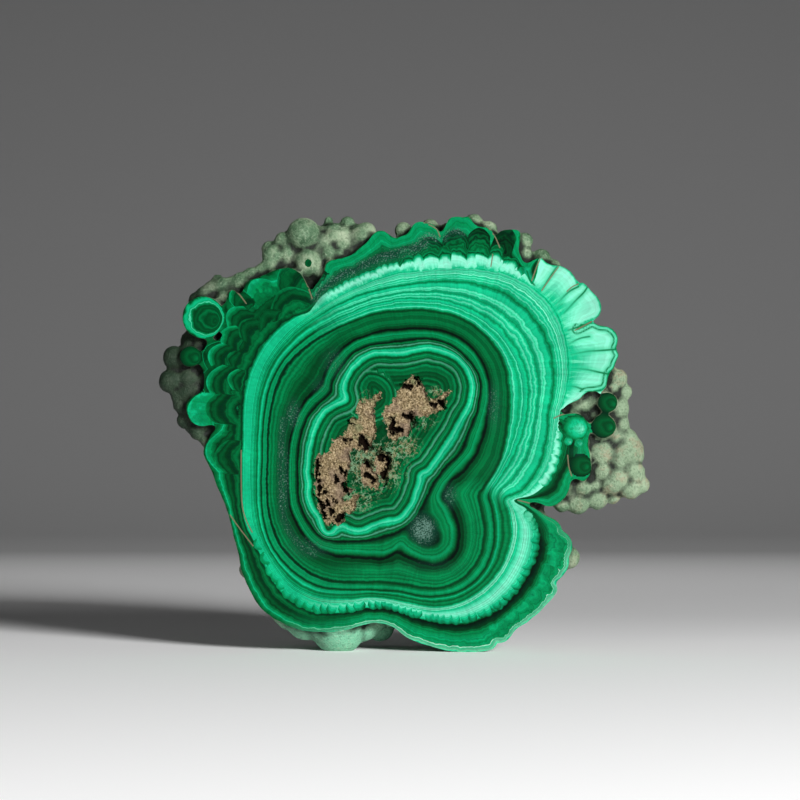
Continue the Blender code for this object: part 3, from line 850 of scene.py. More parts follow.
def to_pixels(vertices):
    places = np.array([(vertex.co.x, vertex.co.z) for vertex in vertices])
    return places * (1, -1) / PIXEL + (MIDDLE_PIXEL, GROUND_PIXEL)


def fill_opening(bm, edges, points, depth, gap):
    """Closes a sawn opening with triangles over its edges and the points. Returns the faces."""
    rim = list({vertex for edge in edges for vertex in edge.verts})
    place_of = {vertex: number for number, vertex in enumerate(rim)}
    sides = [tuple(place_of[vertex] for vertex in edge.verts) for edge in edges]
    around = to_pixels(rim)
    starts, ends = around[np.array(sides)].transpose(1, 0, 2)
    points = thinned(points, around, gap)
    points = points[enclosed(points, starts, ends)]
    flat = [Vector(place) for place in np.vstack([around, points])]
    found, _, triangles, sources, _, _ = delaunay_2d_cdt(flat, sides, [], 0, 1e-7)
    added = [bm.verts.new(at(column, row, depth)) for column, row in points]
    vertices = rim + added
    spots = np.array([tuple(place) for place in found])
    centres = np.array([spots[list(triangle)].mean(0) for triangle in triangles])
    faces = []
    for triangle, kept in zip(triangles, enclosed(centres, starts, ends)):
        corners = [vertices[sources[corner][0]] for corner in triangle]
        if kept and len(set(corners)) == 3:
            faces.append(bm.faces.new(corners))
    return faces


def finger_axis(column, row):
    """Which way a finger points: away from the pale zone."""
    line = PALE_EDGE
    away = np.array((column, row)) - line
    nearest = away[(away**2).sum(1).argmin()]
    if inside(np.array([[column, row]], float), line)[0]:
        nearest = -nearest
    return nearest / max(np.hypot(*nearest), 1e-6)


def fringe():
    """The small fingers in which the pale zone ends."""
    rng = random.Random(FRINGE_SEED)
    line = PALE_EDGE
    small = []
    for start, end, step in FRINGES:
        count = round(math.dist(start, end) / step)
        for number in range(count + 1):
            share = (number + rng.uniform(-FRINGE_SHIFT, FRINGE_SHIFT)) / count
            near = np.array(start) + (np.array(end) - start) * share
            root = line[((line - near) ** 2).sum(1).argmin()]
            outward = (root - MIDDLE) / np.hypot(*(root - MIDDLE))
            column, row = root + outward * rng.uniform(*FRINGE_OUT)
            half_width = step * rng.uniform(*FRINGE_WIDTH)
            length = step * FRINGE_LENGTH
            small.append((column, row, half_width, length, FRINGE_GROWTH, FRINGE_SLOPE))
    return small


def finger_growth(points, finger):
    """The growth that a finger brings to each point, the points it covers and its share there."""
    column, row, half_width, length, at_end, slope = finger
    axis = finger_axis(column, row)
    gap = points - (column, row)
    forward = gap @ axis
    sideways = gap @ (-axis[1], axis[0])
    ahead = forward + FINGER_BEND / half_width * sideways**2
    covered = (ahead < 0) & (np.abs(sideways) < half_width) & (forward > -length)
    if at_end > LEAST_OUTER_FINGER:
        return at_end + slope * ahead, covered, np.ones(len(points))
    return at_end + slope * ahead, covered, np.clip((ahead / length + 1) / FINGER_FADES, 0, 1)


def finger_edge(finger):
    """The line round a finger's end, for the mesh to follow."""
    column, row, half_width, length, _, _ = finger
    axis = finger_axis(column, row)
    across = np.array((-axis[1], axis[0]))
    steps = np.linspace(-1, 1, 13)
    back = axis * FINGER_BEND * half_width
    round_end = [(column, row) + across * half_width * s - back * s * s for s in steps]
    flank = axis * FINGER_FLANK * length
    return np.array([round_end[0] - flank] + round_end + [round_end[-1] - flank])


def from_middle(points, to_ring):
    """The growth inside the bright ring, which stood round the eye too."""
    from_eye = np.hypot(points[:, 0] - EYE[0], points[:, 1] - EYE[1])
    to_eye = np.where(from_eye < EYE_RADIUS, EYE_RADIUS - from_eye + EYE_DEPTH, 1e3)
    return np.maximum(GROWTH_AT[0] - np.minimum(to_ring, to_eye), 0)


def growth_at(points):
    """How far the growth had got at each point of a sawn face."""
    lines = [smooth_outline(line) for line in GROWTH_LINES]
    last = len(lines)
    step = np.full(len(points), last)
    for number in range(last - 1, -1, -1):
        step[inside(points, lines[number])] = number
    to_edge = np.full(len(points), 1e3)
    pale = step >= last - 1
    to_edge[pale] = distance_to(points[pale], smooth_outline(FACE_OUTLINE, 3))
    growth = np.empty(len(points))
    for number in range(last + 1):
        here = step == number
        outer = to_edge[here] if number == last else distance_to(points[here], lines[number])
        if number == 0:
            growth[here] = from_middle(points[here], outer)
            continue
        inner = distance_to(points[here], lines[number - 1])
        if number == 2:
            nucleus = smooth_outline(NUCLEUS)
            to_nucleus = distance_to(points[here], nucleus)
            to_nucleus[inside(points[here], nucleus)] = 0
            inner = np.minimum(inner, to_nucleus)
        if number == last - 1:
            outer = np.minimum(outer, to_edge[here])
        share = inner / np.maximum(inner + outer, 1e-6)
        growth[here] = GROWTH_AT[number - 1] + share * (GROWTH_AT[number] - GROWTH_AT[number - 1])
    lower_strip = (to_edge < EDGE_STRIP) & (points > EDGE_STRIP_CORNER).all(1)
    for finger in fringe() + FINGERS:
        brought, covered, share = finger_growth(points, finger)
        covered &= (growth > GROWTH_AT[-3]) & ~lower_strip
        if finger[4] > LEAST_OUTER_FINGER:
            lowest = GROWTH_AT[-2] + OUTER_FINGER_LEAST
        else:
            lowest = GROWTH_AT[-3] + PALE_FINGER_LEAST
        added = np.maximum(brought, lowest) - growth
        growth[covered] += (share * added)[covered]
    outer = growth > GROWTH_AT[-2] + 1
    for size, height, inner_height in WOBBLE:
        growth += uneven(points, size, WOBBLE_LAYER) * np.where(outer, height, inner_height)
    return growth


def lobe_lines(points):
    """How far each point is from the lines between and round the pale lobes at the right."""
    to_edge = distance_to(points, smooth_outline(FACE_OUTLINE, 3))
    column, row = points.T
    rimmed = (row > LOBE_RIM_ROW) & (row < LOBE_RIM_ENDS) & (column > LOBE_RIM_STARTS)
    rim = np.where(rimmed, np.minimum(to_edge, np.abs(to_edge - LOBE_RIM)), FAR_AWAY)
    return np.minimum(from_lines(points, LOBE_SEAMS), rim)


def uneven(points, size, layer):
    """Smooth noise over the face, from -1 to 1, with features of about this many pixels."""
    return np.array([noise.noise(Vector((x / size, y / size, layer))) for x, y in points])


def hollow_field(points):
    """How far inside a hollow each point is, in pixels, and how deep its floor lies, in metres."""
    into = np.full(len(points), -FAR_AWAY)
    for hollow in HOLLOWS:
        line = smooth_outline(hollow, 3)
        signed = distance_to(points, line) * np.where(inside(points, line), 1, -1)
        into = np.maximum(into, signed)
    near = into > -HOLLOW_MARGIN
    depth = np.zeros(len(points))
    rough = uneven(points[near], CRUMB_SIZES[0], 0)
    fine = uneven(points[near], CRUMB_SIZES[1], 9)
    crumbled = into[near] + HOLLOW_CRUMBLES[0] * rough + HOLLOW_CRUMBLES[1] * fine
    floor = HOLLOW_DEPTH + HOLLOW_ROUGHNESS * (rough + FINE_CRUMBS * fine)
    floor *= ramp_between(crumbled, 0, HOLLOW_WALL)
    for *ends, radius in PITS:
        away = distance_to(points[near], np.array(ends, float).reshape(2, 2), False)
        away += PIT_CRUMBLES[0] * rough + PIT_CRUMBLES[1] * fine
        edge = radius * PIT_SHARE
        floor += PIT_DEPTH * ramp_between(away, edge + PIT_WALL[0], edge - PIT_WALL[1])
    into[near], depth[near] = crumbled, np.maximum(floor, 0)
    return into, depth


def knob_field(points):
    """For the cut knobs: how far from the middle to the edge each point is, and the kind of cut.

    The rings of a knob crowd together at its right, so each lies a little off the next.
    """
    share = np.full(len(points), NO_KNOB)
    kind = np.zeros(len(points))
    for column, row, radius, knob_kind in CUT_KNOBS:
        from_centre = points - (column, row)
        away = np.hypot(*from_centre.T) / radius
        ring = away
        for _ in range(KNOB_PASSES):
            shift = radius * KNOB_SHIFT * np.clip(1 - ring, 0, 1)[:, None] * KNOB_SHIFT_WAY
            ring = np.hypot(*(from_centre - shift).T) / radius
        nearer = (away < 1) & (ring < share)
        share[nearer] = ring[nearer]
        kind[nearer] = knob_kind
    return share, kind


def side_weights(points):
    """How much the right's bands hold at each point, and how much the lower lobe's do."""
    column, row = SIDES_MEET
    angle = np.degrees(np.arctan2(row - points[:, 1], points[:, 0] - column))
    right = ramp_between(angle, *RIGHT_STARTS) * ramp_between(angle, *RIGHT_ENDS)
    lower = ramp_between(angle, *LOWER_STARTS) * ramp_between(angle, *LOWER_ENDS)
    return right, lower


def arc_round(points):
    """How far round the slab each point is, for the fibres that cross the bands."""
    line = in_steps(smooth_outline(THIN_GREEN_LINE), 1.0, True)
    nearest = np.empty(len(points))
    for first in range(0, len(points), AT_ONCE):
        gap = points[first : first + AT_ONCE, None] - line
        nearest[first : first + AT_ONCE] = (gap**2).sum(2).argmin(1)
    return nearest


def crust_hollows(bm):
    """How deep in a crevice each vertex lies: its place against that of its surroundings."""
    places = np.array([vertex.co for vertex in bm.verts])
    normals = np.array([vertex.normal for vertex in bm.verts])
    ends = np.array([[vertex.index for vertex in edge.verts] for edge in bm.edges])
    count = np.zeros(len(places))
    np.add.at(count, ends.ravel(), 1)
    smooth = places.copy()
    for _ in range(CREVICE_REACH):
        total = np.zeros_like(smooth)
        np.add.at(total, ends[:, 0], smooth[ends[:, 1]])
        np.add.at(total, ends[:, 1], smooth[ends[:, 0]])
        smooth = total / np.maximum(count, 1)[:, None]
    return ((places - smooth) * normals).sum(1)


def placed(name, data):
    """A new object in the scene."""
    made = bpy.data.objects.new(name, data)
    bpy.context.scene.collection.objects.link(made)
    return made


def sawn_slab():
    """The slab as it comes off the saw, with the faces of its front."""
    bm = grown_rim()
    ground = saw(bm, (0, 0, 0), (0, 0, -1))
    bmesh.ops.triangle_fill(bm, use_beauty=True, edges=ground)
    opening = saw(bm, (0, FRONT, 0), (0, -1, 0))
    front = fill_opening(bm, opening, front_points(), 0, FRONT_RIM_GAP)
    opening = saw(bm, (0, BACK, 0), (0, 1, 0))
    back_grid = hex_grid(*BACK_WINDOW, BACK_SPACING)
    back = fill_opening(bm, opening, back_grid, THICKNESS, BACK_RIM_GAP)
    for faces, number in ((front, 1), (back, 2)):
        for face in faces:
            face.material_index = number
    bmesh.ops.recalc_face_normals(bm, faces=bm.faces)
    bm.normal_update()
    bm.verts.index_update()
    return bm, front


def slab_fields(bm, front_vertices):
    """What is known at each vertex: the growth, hollows, cracks, knobs, specks and crevices."""
    pixels = to_pixels(bm.verts)
    depths = np.array([vertex.co.y for vertex in bm.verts])
    sawn = (depths < FRONT + SAWN_WITHIN) | (depths > BACK - SAWN_WITHIN)
    growth = np.zeros(len(pixels))
    growth[sawn] = growth_at(pixels[sawn])
    is_front = np.array([vertex in front_vertices for vertex in bm.verts])
    into, depth = np.full(len(pixels), OUTSIDE_HOLLOWS), np.zeros(len(pixels))
    into[is_front], depth[is_front] = hollow_field(pixels[is_front])
    knob, knob_kind = knob_field(pixels)
    right, lower = side_weights(pixels)
    return {
        "growth": growth,
        "hollow": into,
        "hollow_depth": depth,
        "crack": np.minimum(from_lines(pixels, CRACKS, 6), FAR_AWAY),
        "knob": knob,
        "knob_kind": knob_kind,
        "lobe_line": np.minimum(lobe_lines(pixels), FAR_AWAY),
        "right_side": right,
        "lower_lobe": lower,
        "round_way": arc_round(pixels),
        "specks": speck_field(pixels),
        "mottle": soft_patches(pixels, MOTTLED_PATCHES),
        "crevice": crust_hollows(bm),
    }


def build_slab():
    bm, front = sawn_slab()
    front_vertices = {vertex for face in front for vertex in face.verts}
    rim_vertices = {v for v in front_vertices if any(f.material_index != 1 for f in v.link_faces)}
    fields = slab_fields(bm, front_vertices)
    for vertex in front_vertices - rim_vertices:
        vertex.co.y += fields["hollow_depth"][vertex.index]
    for name in ("hollow_depth", "crevice"):
        fields[name] *= 1000  # the materials want millimetres
    mesh = bpy.data.meshes.new(SLAB_NAME)
    bm.to_mesh(mesh)
    bm.free()
    for name, values in fields.items():
        mesh.attributes.new(name, "FLOAT", "POINT").data.foreach_set("value", values)
    mesh.shade_smooth()
    mesh.set_sharp_from_angle(angle=math.radians(SHARP_ANGLE))
    return placed(SLAB_NAME, mesh)


# Tones of the bands.
WHITE_MINT = (178, 244, 214)
PALE_MINT = (122, 226, 190)
BRIGHT_MINT = (20, 186, 132)
MINT = (10, 172, 118)
BRIGHT_GREEN = (4, 147, 92)
GREEN = (0, 126, 71)
MID_GREEN = (0, 105, 55)
DARK_GREEN = (0, 81, 39)
DEEP_GREEN = (0, 58, 26)
BOTTLE_GREEN = (0, 38, 20)
BLACK_GREEN = (1, 18, 9)
LAVENDER_GREY = (122, 160, 146)
GREY_LINE = (62, 140, 110)
PALE_GREY_GREEN = (100, 180, 142)
LOBE_MINT = (142, 230, 200)
SOFT_MINT = (82, 208, 166)

# The growth round the middle, the same on every side: how far it had got, and its tone.
MIDDLE_BANDS = [
    (0, DEEP_GREEN), (4, DARK_GREEN), (6, DEEP_GREEN), (8, MID_GREEN), (10, DARK_GREEN),
    (12, DEEP_GREEN), (14, MID_GREEN), (15.4, DEEP_GREEN), (18, DARK_GREEN), (20, DEEP_GREEN),
    (22, MID_GREEN), (24, DARK_GREEN), (26, GREEN), (28, DEEP_GREEN), (30.4, MID_GREEN),
    (32, GREY_LINE), (33.2, DARK_GREEN), (35, MID_GREEN), (36.6, GREEN), (38, DARK_GREEN),
    (39.4, DEEP_GREEN), (40.4, GREEN), (41.6, MINT), (43, BRIGHT_MINT), (43.9, SOFT_MINT),
    (44.8, BRIGHT_MINT), (46.2, MINT), (47.2, GREEN), (48.2, DARK_GREEN), (49.4, GREY_LINE),
    (50.4, DARK_GREEN), (51.4, MID_GREEN), (52.4, DARK_GREEN), (53.2, BLACK_GREEN),
    (54.6, BOTTLE_GREEN), (56, DARK_GREEN), (57.4, GREEN), (58.6, MID_GREEN), (59.8, GREEN),
    (61, MID_GREEN), (62.2, BRIGHT_GREEN), (63.6, GREEN), (65.4, DARK_GREEN), (67, BOTTLE_GREEN),
    (67.8, BLACK_GREEN), (68.8, BLACK_GREEN), (69.6, DEEP_GREEN), (70, DEEP_GREEN),
]
LEFT_BANDS = [
    (70, DEEP_GREEN), (72, DARK_GREEN), (75, DEEP_GREEN), (78, DARK_GREEN), (81, MID_GREEN),
    (83, GREEN), (84.4, DARK_GREEN), (85.6, GREEN), (87, BOTTLE_GREEN), (88.6, DEEP_GREEN),
    (90, BRIGHT_GREEN), (92.5, GREEN), (94, BRIGHT_GREEN), (96, GREEN), (97.4, BOTTLE_GREEN),
    (99, DARK_GREEN), (100.6, BRIGHT_GREEN), (103, MINT), (104.4, BRIGHT_MINT), (105.4, GREEN),
    (107, DARK_GREEN), (109, BRIGHT_GREEN), (110.6, GREEN), (112, MINT), (113, GREEN),
    (115, BRIGHT_MINT), (117.5, GREEN), (119.5, BRIGHT_MINT), (121.6, GREEN), (124, BRIGHT_MINT),
    (129, MINT), (134, BRIGHT_MINT), (139, MINT), (144, BRIGHT_MINT), (148.4, MINT), (149.8, GREEN),
    (151.4, BOTTLE_GREEN), (153.6, DARK_GREEN), (156, MID_GREEN), (158.5, DARK_GREEN),
    (160.5, BOTTLE_GREEN), (162.5, DEEP_GREEN), (165.5, DARK_GREEN), (168, DEEP_GREEN),
    (170, MID_GREEN), (171.5, GREEN), (173, BRIGHT_GREEN), (174.4, MINT), (175.6, GREEN),
    (177.5, MID_GREEN), (179, DARK_GREEN), (180, DEEP_GREEN),
]
RIGHT_BANDS = [
    (70, DEEP_GREEN), (71.5, DARK_GREEN), (76, MID_GREEN), (80, DARK_GREEN), (83, MID_GREEN),
    (86, DARK_GREEN), (87.4, DEEP_GREEN), (89, MID_GREEN), (90.4, MINT), (91, SOFT_MINT),
    (91.8, BRIGHT_MINT), (93, MINT), (94.2, BRIGHT_GREEN), (95.4, MINT), (95.9, SOFT_MINT),
    (96.4, MINT), (97.6, BRIGHT_MINT), (98.4, MINT), (99.4, BRIGHT_GREEN), (100.4, MINT),
    (101, SOFT_MINT), (101.5, MINT), (102.4, BRIGHT_MINT), (102.8, SOFT_MINT), (103.3, MINT),
    (104.4, BRIGHT_GREEN), (105.4, MINT), (105.9, SOFT_MINT), (106.4, MINT), (107.2, SOFT_MINT),
    (107.7, MINT), (108.8, BRIGHT_MINT), (110, MINT), (111, GREEN), (111.8, BRIGHT_GREEN),
    (112.8, MINT), (113.2, SOFT_MINT), (113.7, MINT), (114.6, BRIGHT_MINT), (115.1, SOFT_MINT),
    (115.7, MINT), (116.8, BRIGHT_MINT), (117.3, PALE_MINT), (118, MINT), (118.6, SOFT_MINT),
    (119.3, MINT), (120, SOFT_MINT), (120.7, MINT), (121.6, SOFT_MINT), (122.6, MINT),
    (123.4, BRIGHT_GREEN), (124.2, BRIGHT_MINT), (129, BRIGHT_MINT), (134, SOFT_MINT),
    (140, PALE_MINT), (147, LOBE_MINT),
    (148.6, PALE_MINT), (149.6, MINT), (150.4, GREEN), (151.2, DEEP_GREEN), (152.2, GREEN),
    (153.2, DARK_GREEN), (154.2, MID_GREEN), (155, DEEP_GREEN), (156, MID_GREEN),
    (157, BOTTLE_GREEN), (158, DARK_GREEN), (159, BOTTLE_GREEN), (160, DEEP_GREEN),
    (161, BLACK_GREEN), (162, DEEP_GREEN), (163, BOTTLE_GREEN), (164.6, DARK_GREEN),
    (167, MID_GREEN), (171, BRIGHT_GREEN), (175, GREEN), (178, BRIGHT_GREEN), (180, MID_GREEN),
]
LOWER_BANDS = [
    (70, DEEP_GREEN), (71.5, DEEP_GREEN), (75, MID_GREEN), (79, GREEN), (80.6, MID_GREEN),
    (82.4, GREEN),
    (83.6, MID_GREEN), (85.4, GREEN), (87, DEEP_GREEN), (89, DARK_GREEN), (91, GREEN),
    (93, BRIGHT_GREEN), (95, GREEN), (97, DEEP_GREEN), (98.6, DARK_GREEN), (100, GREEN),
    (101.4, MINT), (102.4, GREEN), (104, MID_GREEN), (106, DARK_GREEN), (108, GREEN),
    (110, MID_GREEN), (113, GREEN), (114.6, BRIGHT_MINT), (116, GREEN), (117.4, PALE_MINT),
    (118.6, MINT), (120, PALE_MINT), (121.4, GREEN), (123, PALE_MINT), (124.4, MINT),
    (126, BRIGHT_MINT), (130, SOFT_MINT), (134, PALE_MINT), (139, SOFT_MINT),
    (146, BRIGHT_MINT), (148.6, MINT), (150.2, DARK_GREEN), (151.2, BLACK_GREEN),
    (155, BOTTLE_GREEN), (157.4, DEEP_GREEN), (160, MID_GREEN), (164, GREEN), (168, BRIGHT_GREEN),
    (171, GREEN), (173, BRIGHT_GREEN), (174, GREEN), (174.8, WHITE_MINT), (175.6, MINT),
    (178.4, PALE_GREY_GREEN), (180, BRIGHT_MINT),
]
MOST_STOPS = 30  # in one ramp
NOISE_SPAN = (0.3, 0.7)  # most of the noise lies in it


def add_node(tree, kind, inputs=None, **settings):
    """A shader node with its settings, its inputs set or linked."""
    made = tree.nodes.new(kind)
    for name, value in settings.items():
        setattr(made, name, value)
    for name, value in (inputs or {}).items():
        if isinstance(value, bpy.types.NodeSocket):
            tree.links.new(value, made.inputs[name])
        else:
            made.inputs[name].default_value = value
    return made


def attribute(tree, name):
    return add_node(tree, "ShaderNodeAttribute", attribute_name=name).outputs["Fac"]


def place_on_object(tree):
    return add_node(tree, "ShaderNodeTexCoord").outputs["Object"]


def scaled(tree, value, low, high, new_low=0.0, new_high=1.0):
    inputs = {
        "Value": value, "From Min": low, "From Max": high, "To Min": new_low, "To Max": new_high
    }
    return add_node(tree, "ShaderNodeMapRange", inputs).outputs["Result"]


def swung(tree, value, low, high):
    """Noise stretched from low to high, over the span in which most of it lies."""
    return scaled(tree, value, *NOISE_SPAN, low, high)


def maths(tree, operation, *values):
    """One step of arithmetic."""
    inputs = dict(enumerate(values))
    return add_node(tree, "ShaderNodeMath", inputs, operation=operation).outputs[0]


def times(tree, a, b):
    return maths(tree, "MULTIPLY", a, b)


def mixed(tree, share, a, b, blend="MIX"):
    """Colour a, and b where share is 1."""
    mix = add_node(tree, "ShaderNodeMix", data_type="RGBA", blend_type=blend)
    for place, value in ((0, share), (6, a), (7, b)):
        if isinstance(value, bpy.types.NodeSocket):
            tree.links.new(value, mix.inputs[place])
        else:
            mix.inputs[place].default_value = value
    return mix.outputs[2]


def noise_of(tree, size, detail=2.0, roughness=0.5, place=None, distortion=0.0):
    """Noise whose features are about this size, in metres."""
    inputs = {
        "Vector": place or place_on_object(tree), "Scale": 1 / size, "Detail": detail,
        "Roughness": roughness, "Distortion": distortion,
    }
    return add_node(tree, "ShaderNodeTexNoise", inputs).outputs["Fac"]


def colour_ramp(tree, value, stops):
    """Colours over a value from 0 to 1."""
    made = add_node(tree, "ShaderNodeValToRGB", {"Fac": value})
    elements = made.color_ramp.elements
    elements.remove(elements[-1])
    elements[0].position = stops[0][0]
    elements[0].color = stone(*stops[0][1])
    for place, colour in stops[1:]:
        elements.new(place).color = stone(*colour)
    return made.outputs["Color"]


def band_colour(tree, growth, bands):
    """The colour of the bands, from as many ramps as their stops need."""
    colour = None
    for first in range(0, len(bands) - 1, MOST_STOPS - 1):
        part = bands[first : first + MOST_STOPS]
        low, high = part[0][0], part[-1][0]
        stops = [((place - low) / (high - low), tone) for place, tone in part]
        ramp = colour_ramp(tree, scaled(tree, growth, low, high), stops)
        if colour is None:
            colour = ramp
        else:
            colour = mixed(tree, maths(tree, "GREATER_THAN", growth, low), colour, ramp)
    return colour


def new_material(name, roughness, ior=1.5):
    made = bpy.data.materials.new(name)
    made.use_nodes = True
    shader = made.node_tree.nodes["Principled BSDF"]
    shader.inputs["Roughness"].default_value = roughness
    shader.inputs["IOR"].default_value = ior
    return made, made.node_tree, shader


def bumpy(tree, shader, height, strength, distance):
    """Lets a material stand out by a height, as far as this distance in metres."""
    inputs = {"Height": height, "Strength": strength, "Distance": distance}
    bump = add_node(tree, "ShaderNodeBump", inputs)
    tree.links.new(bump.outputs["Normal"], shader.inputs["Normal"])


def growth_colour(tree):
    """The banded green of a sawn face."""
    ragged = swung(tree, noise_of(tree, 0.0012, 2.0, 0.6), -0.28, 0.28)
    growth = maths(tree, "ADD", attribute(tree, "growth"), ragged)
    middle = band_colour(tree, growth, MIDDLE_BANDS)
    outer = band_colour(tree, growth, LEFT_BANDS)
    for side, bands in (("right_side", RIGHT_BANDS), ("lower_lobe", LOWER_BANDS)):
        outer = mixed(tree, attribute(tree, side), outer, band_colour(tree, growth, bands))
    past_middle = maths(tree, "GREATER_THAN", growth, MIDDLE_BANDS[-1][0])
    colour = mixed(tree, past_middle, middle, outer)
    inputs = {"W": growth, "Scale": 0.5, "Detail": 3.0, "Roughness": 0.75}
    lines = add_node(tree, "ShaderNodeTexNoise", inputs, noise_dimensions="1D").outputs["Fac"]
    shade = swung(tree, lines, 0.62, 1.3)
    inputs = {"X": times(tree, attribute(tree, "round_way"), 0.35), "Y": times(tree, growth, 0.05)}
    across = add_node(tree, "ShaderNodeCombineXYZ", inputs).outputs[0]
    fibres = noise_of(tree, 1.0, 2.0, 0.6, across)
    fibre_shade = swung(tree, fibres, 0.84, 1.12)
    cloudy = swung(tree, noise_of(tree, 0.009, 2.0), 0.86, 1.12)
    in_fan = times(tree, scaled(tree, growth, 124, 128), scaled(tree, growth, 150, 148))
    in_fan = times(tree, in_fan, attribute(tree, "right_side"))
    streaks = times(tree, in_fan, scaled(tree, fibres, 0.45, 0.7, 0.0, 0.7))
    colour = mixed(tree, streaks, colour, stone(*PALE_MINT))
    shade = mixed(tree, times(tree, in_fan, 0.75), shade, (1, 1, 1, 1))
    value = times(tree, times(tree, shade, fibre_shade), cloudy)
    inputs = {"Color": colour, "Value": value}
    return add_node(tree, "ShaderNodeHueSaturation", inputs).outputs["Color"]


def with_knobs(tree, colour):
    """The rings of the knobs that the saw cut through: dark, mint-rimmed and pale."""
    rings = attribute(tree, "knob")
    kind = attribute(tree, "knob_kind")
    ragged = swung(tree, noise_of(tree, 0.0022, 2.0, 0.5), -0.05, 0.05)
    share = maths(tree, "ADD", rings, ragged)
    dark = colour_ramp(
        tree, share,
        [
            (0.0, MID_GREEN), (0.2, DARK_GREEN), (0.35, DEEP_GREEN), (0.5, DARK_GREEN),
            (0.7, DEEP_GREEN), (0.9, BOTTLE_GREEN), (1.0, BLACK_GREEN),
        ],
    )
    rimmed = colour_ramp(
        tree, share,
        [
            (0.0, DARK_GREEN), (0.12, DEEP_GREEN), (0.2, DARK_GREEN), (0.3, DEEP_GREEN),
            (0.4, MID_GREEN), (0.48, DEEP_GREEN), (0.56, DARK_GREEN), (0.64, DEEP_GREEN),
            (0.70, MID_GREEN), (0.745, BRIGHT_GREEN), (0.765, SOFT_MINT), (0.785, BRIGHT_GREEN),
            (0.86, MINT), (0.92, BRIGHT_GREEN), (0.96, DARK_GREEN), (1.0, BOTTLE_GREEN),
        ],
    )
    pale = colour_ramp(
        tree, share,
        [
            (0.0, PALE_MINT), (0.2, SOFT_MINT), (0.42, BRIGHT_MINT), (0.6, MINT),
            (0.75, GREEN), (0.85, DARK_GREEN), (1.0, BOTTLE_GREEN),
        ],
    )
    crumbs = scaled(tree, noise_of(tree, 0.0009, 3.0, 0.7), 0.45, 0.62, 0.0, 0.6)
    pale = mixed(tree, crumbs, pale, stone(*GREEN))
    ringed = mixed(tree, scaled(tree, kind, 0.0, 0.5), dark, rimmed)
    ringed = mixed(tree, scaled(tree, kind, 0.5, 1.0), ringed, pale)
    return mixed(tree, maths(tree, "LESS_THAN", rings, 1.0), colour, ringed)


def with_lobe_lines(tree, colour):
    """The dark green lines between the pale lobes, with a mint edge."""
    away = attribute(tree, "lobe_line")
    colour = mixed(tree, scaled(tree, away, 5.0, 0.8, 0.0, 0.6), colour, stone(*BRIGHT_MINT))
    outwards = scaled(tree, attribute(tree, "growth"), 128, 144, 0.2, 0.95)
    line = times(tree, scaled(tree, away, 1.4, 0.3), outwards)
    return mixed(tree, line, colour, stone(*MID_GREEN))


def with_specks(tree, colour):
    """Grey specks in patches, and the earthy mottling between the hollows."""
    specks = attribute(tree, "specks")
    colour = mixed(tree, scaled(tree, specks, 0.0, 1.0, 0.0, 0.4), colour, stone(22, 80, 60))
    grains = noise_of(tree, 0.0005, 2.0, 0.75)
    uneven_share = scaled(tree, noise_of(tree, 0.0021, 2.0, 0.6), 0.35, 0.65, 0.15, 0.22)
    reach = times(tree, specks, uneven_share)
    lifted = maths(tree, "ADD", grains, reach)
    colour = mixed(tree, scaled(tree, lifted, 0.71, 0.88, 0.0, 0.55), colour, stone(*LAVENDER_GREY))
    clumps = noise_of(tree, 0.0013, 4.0, 0.8)
    reach = scaled(tree, attribute(tree, "mottle"), 0.0, 1.0, 0.0, 0.30)
    lifted = maths(tree, "ADD", clumps, reach)
    earthy = colour_ramp(
        tree, grains,
        [(0.3, (25, 40, 22)), (0.44, (88, 100, 66)), (0.56, (146, 138, 104)), (0.7, (120, 160, 125))],
    )
    colour = mixed(tree, scaled(tree, lifted, 0.72, 0.80, 0.0, 0.85), colour, earthy)
    winding = noise_of(tree, 0.0032, 4.0, 0.62)
    from_line = maths(tree, "ABSOLUTE", maths(tree, "SUBTRACT", winding, 0.5))
    vein = times(tree, scaled(tree, from_line, 0.03, 0.008), scaled(tree, reach, 0.06, 0.2))
    return mixed(tree, times(tree, vein, 0.65), colour, stone(128, 170, 132))


def with_cracks(tree, colour):
    away = attribute(tree, "crack")
    wall = colour_ramp(
        tree, scaled(tree, away, 0.0, 1.1),
        [(0.0, (60, 50, 36)), (0.35, (150, 142, 112)), (0.6, (50, 62, 40)), (1.0, (0, 45, 24))],
    )
    return mixed(tree, scaled(tree, away, 0.9, 0.4, 0.0, 0.9), colour, wall)


def earth_colour(tree):
    """The crumbly brown of the hollows, with painted shade that turns their deepest floors black."""
    grains = noise_of(tree, 0.0006, 4.0, 0.8)
    colour = colour_ramp(
        tree, grains,
        [
            (0.32, (26, 20, 12)), (0.41, (92, 78, 52)), (0.50, (146, 128, 96)),
            (0.60, (188, 168, 132)), (0.72, (226, 208, 176)),
        ],
    )
    patches = noise_of(tree, 0.005, 2.0)
    colour = mixed(tree, scaled(tree, patches, 0.5, 0.66, 0.0, 0.55), colour, stone(128, 108, 96))
    colour = mixed(tree, scaled(tree, patches, 0.42, 0.3, 0.0, 0.5), colour, stone(92, 116, 78))
    # Painted shade: the deepest floors of the pits go near-black with depth.
    painted_pit_shade = scaled(tree, attribute(tree, "hollow_depth"), 1.35, 2.1)
    return mixed(tree, painted_pit_shade, colour, stone(26, 18, 10))


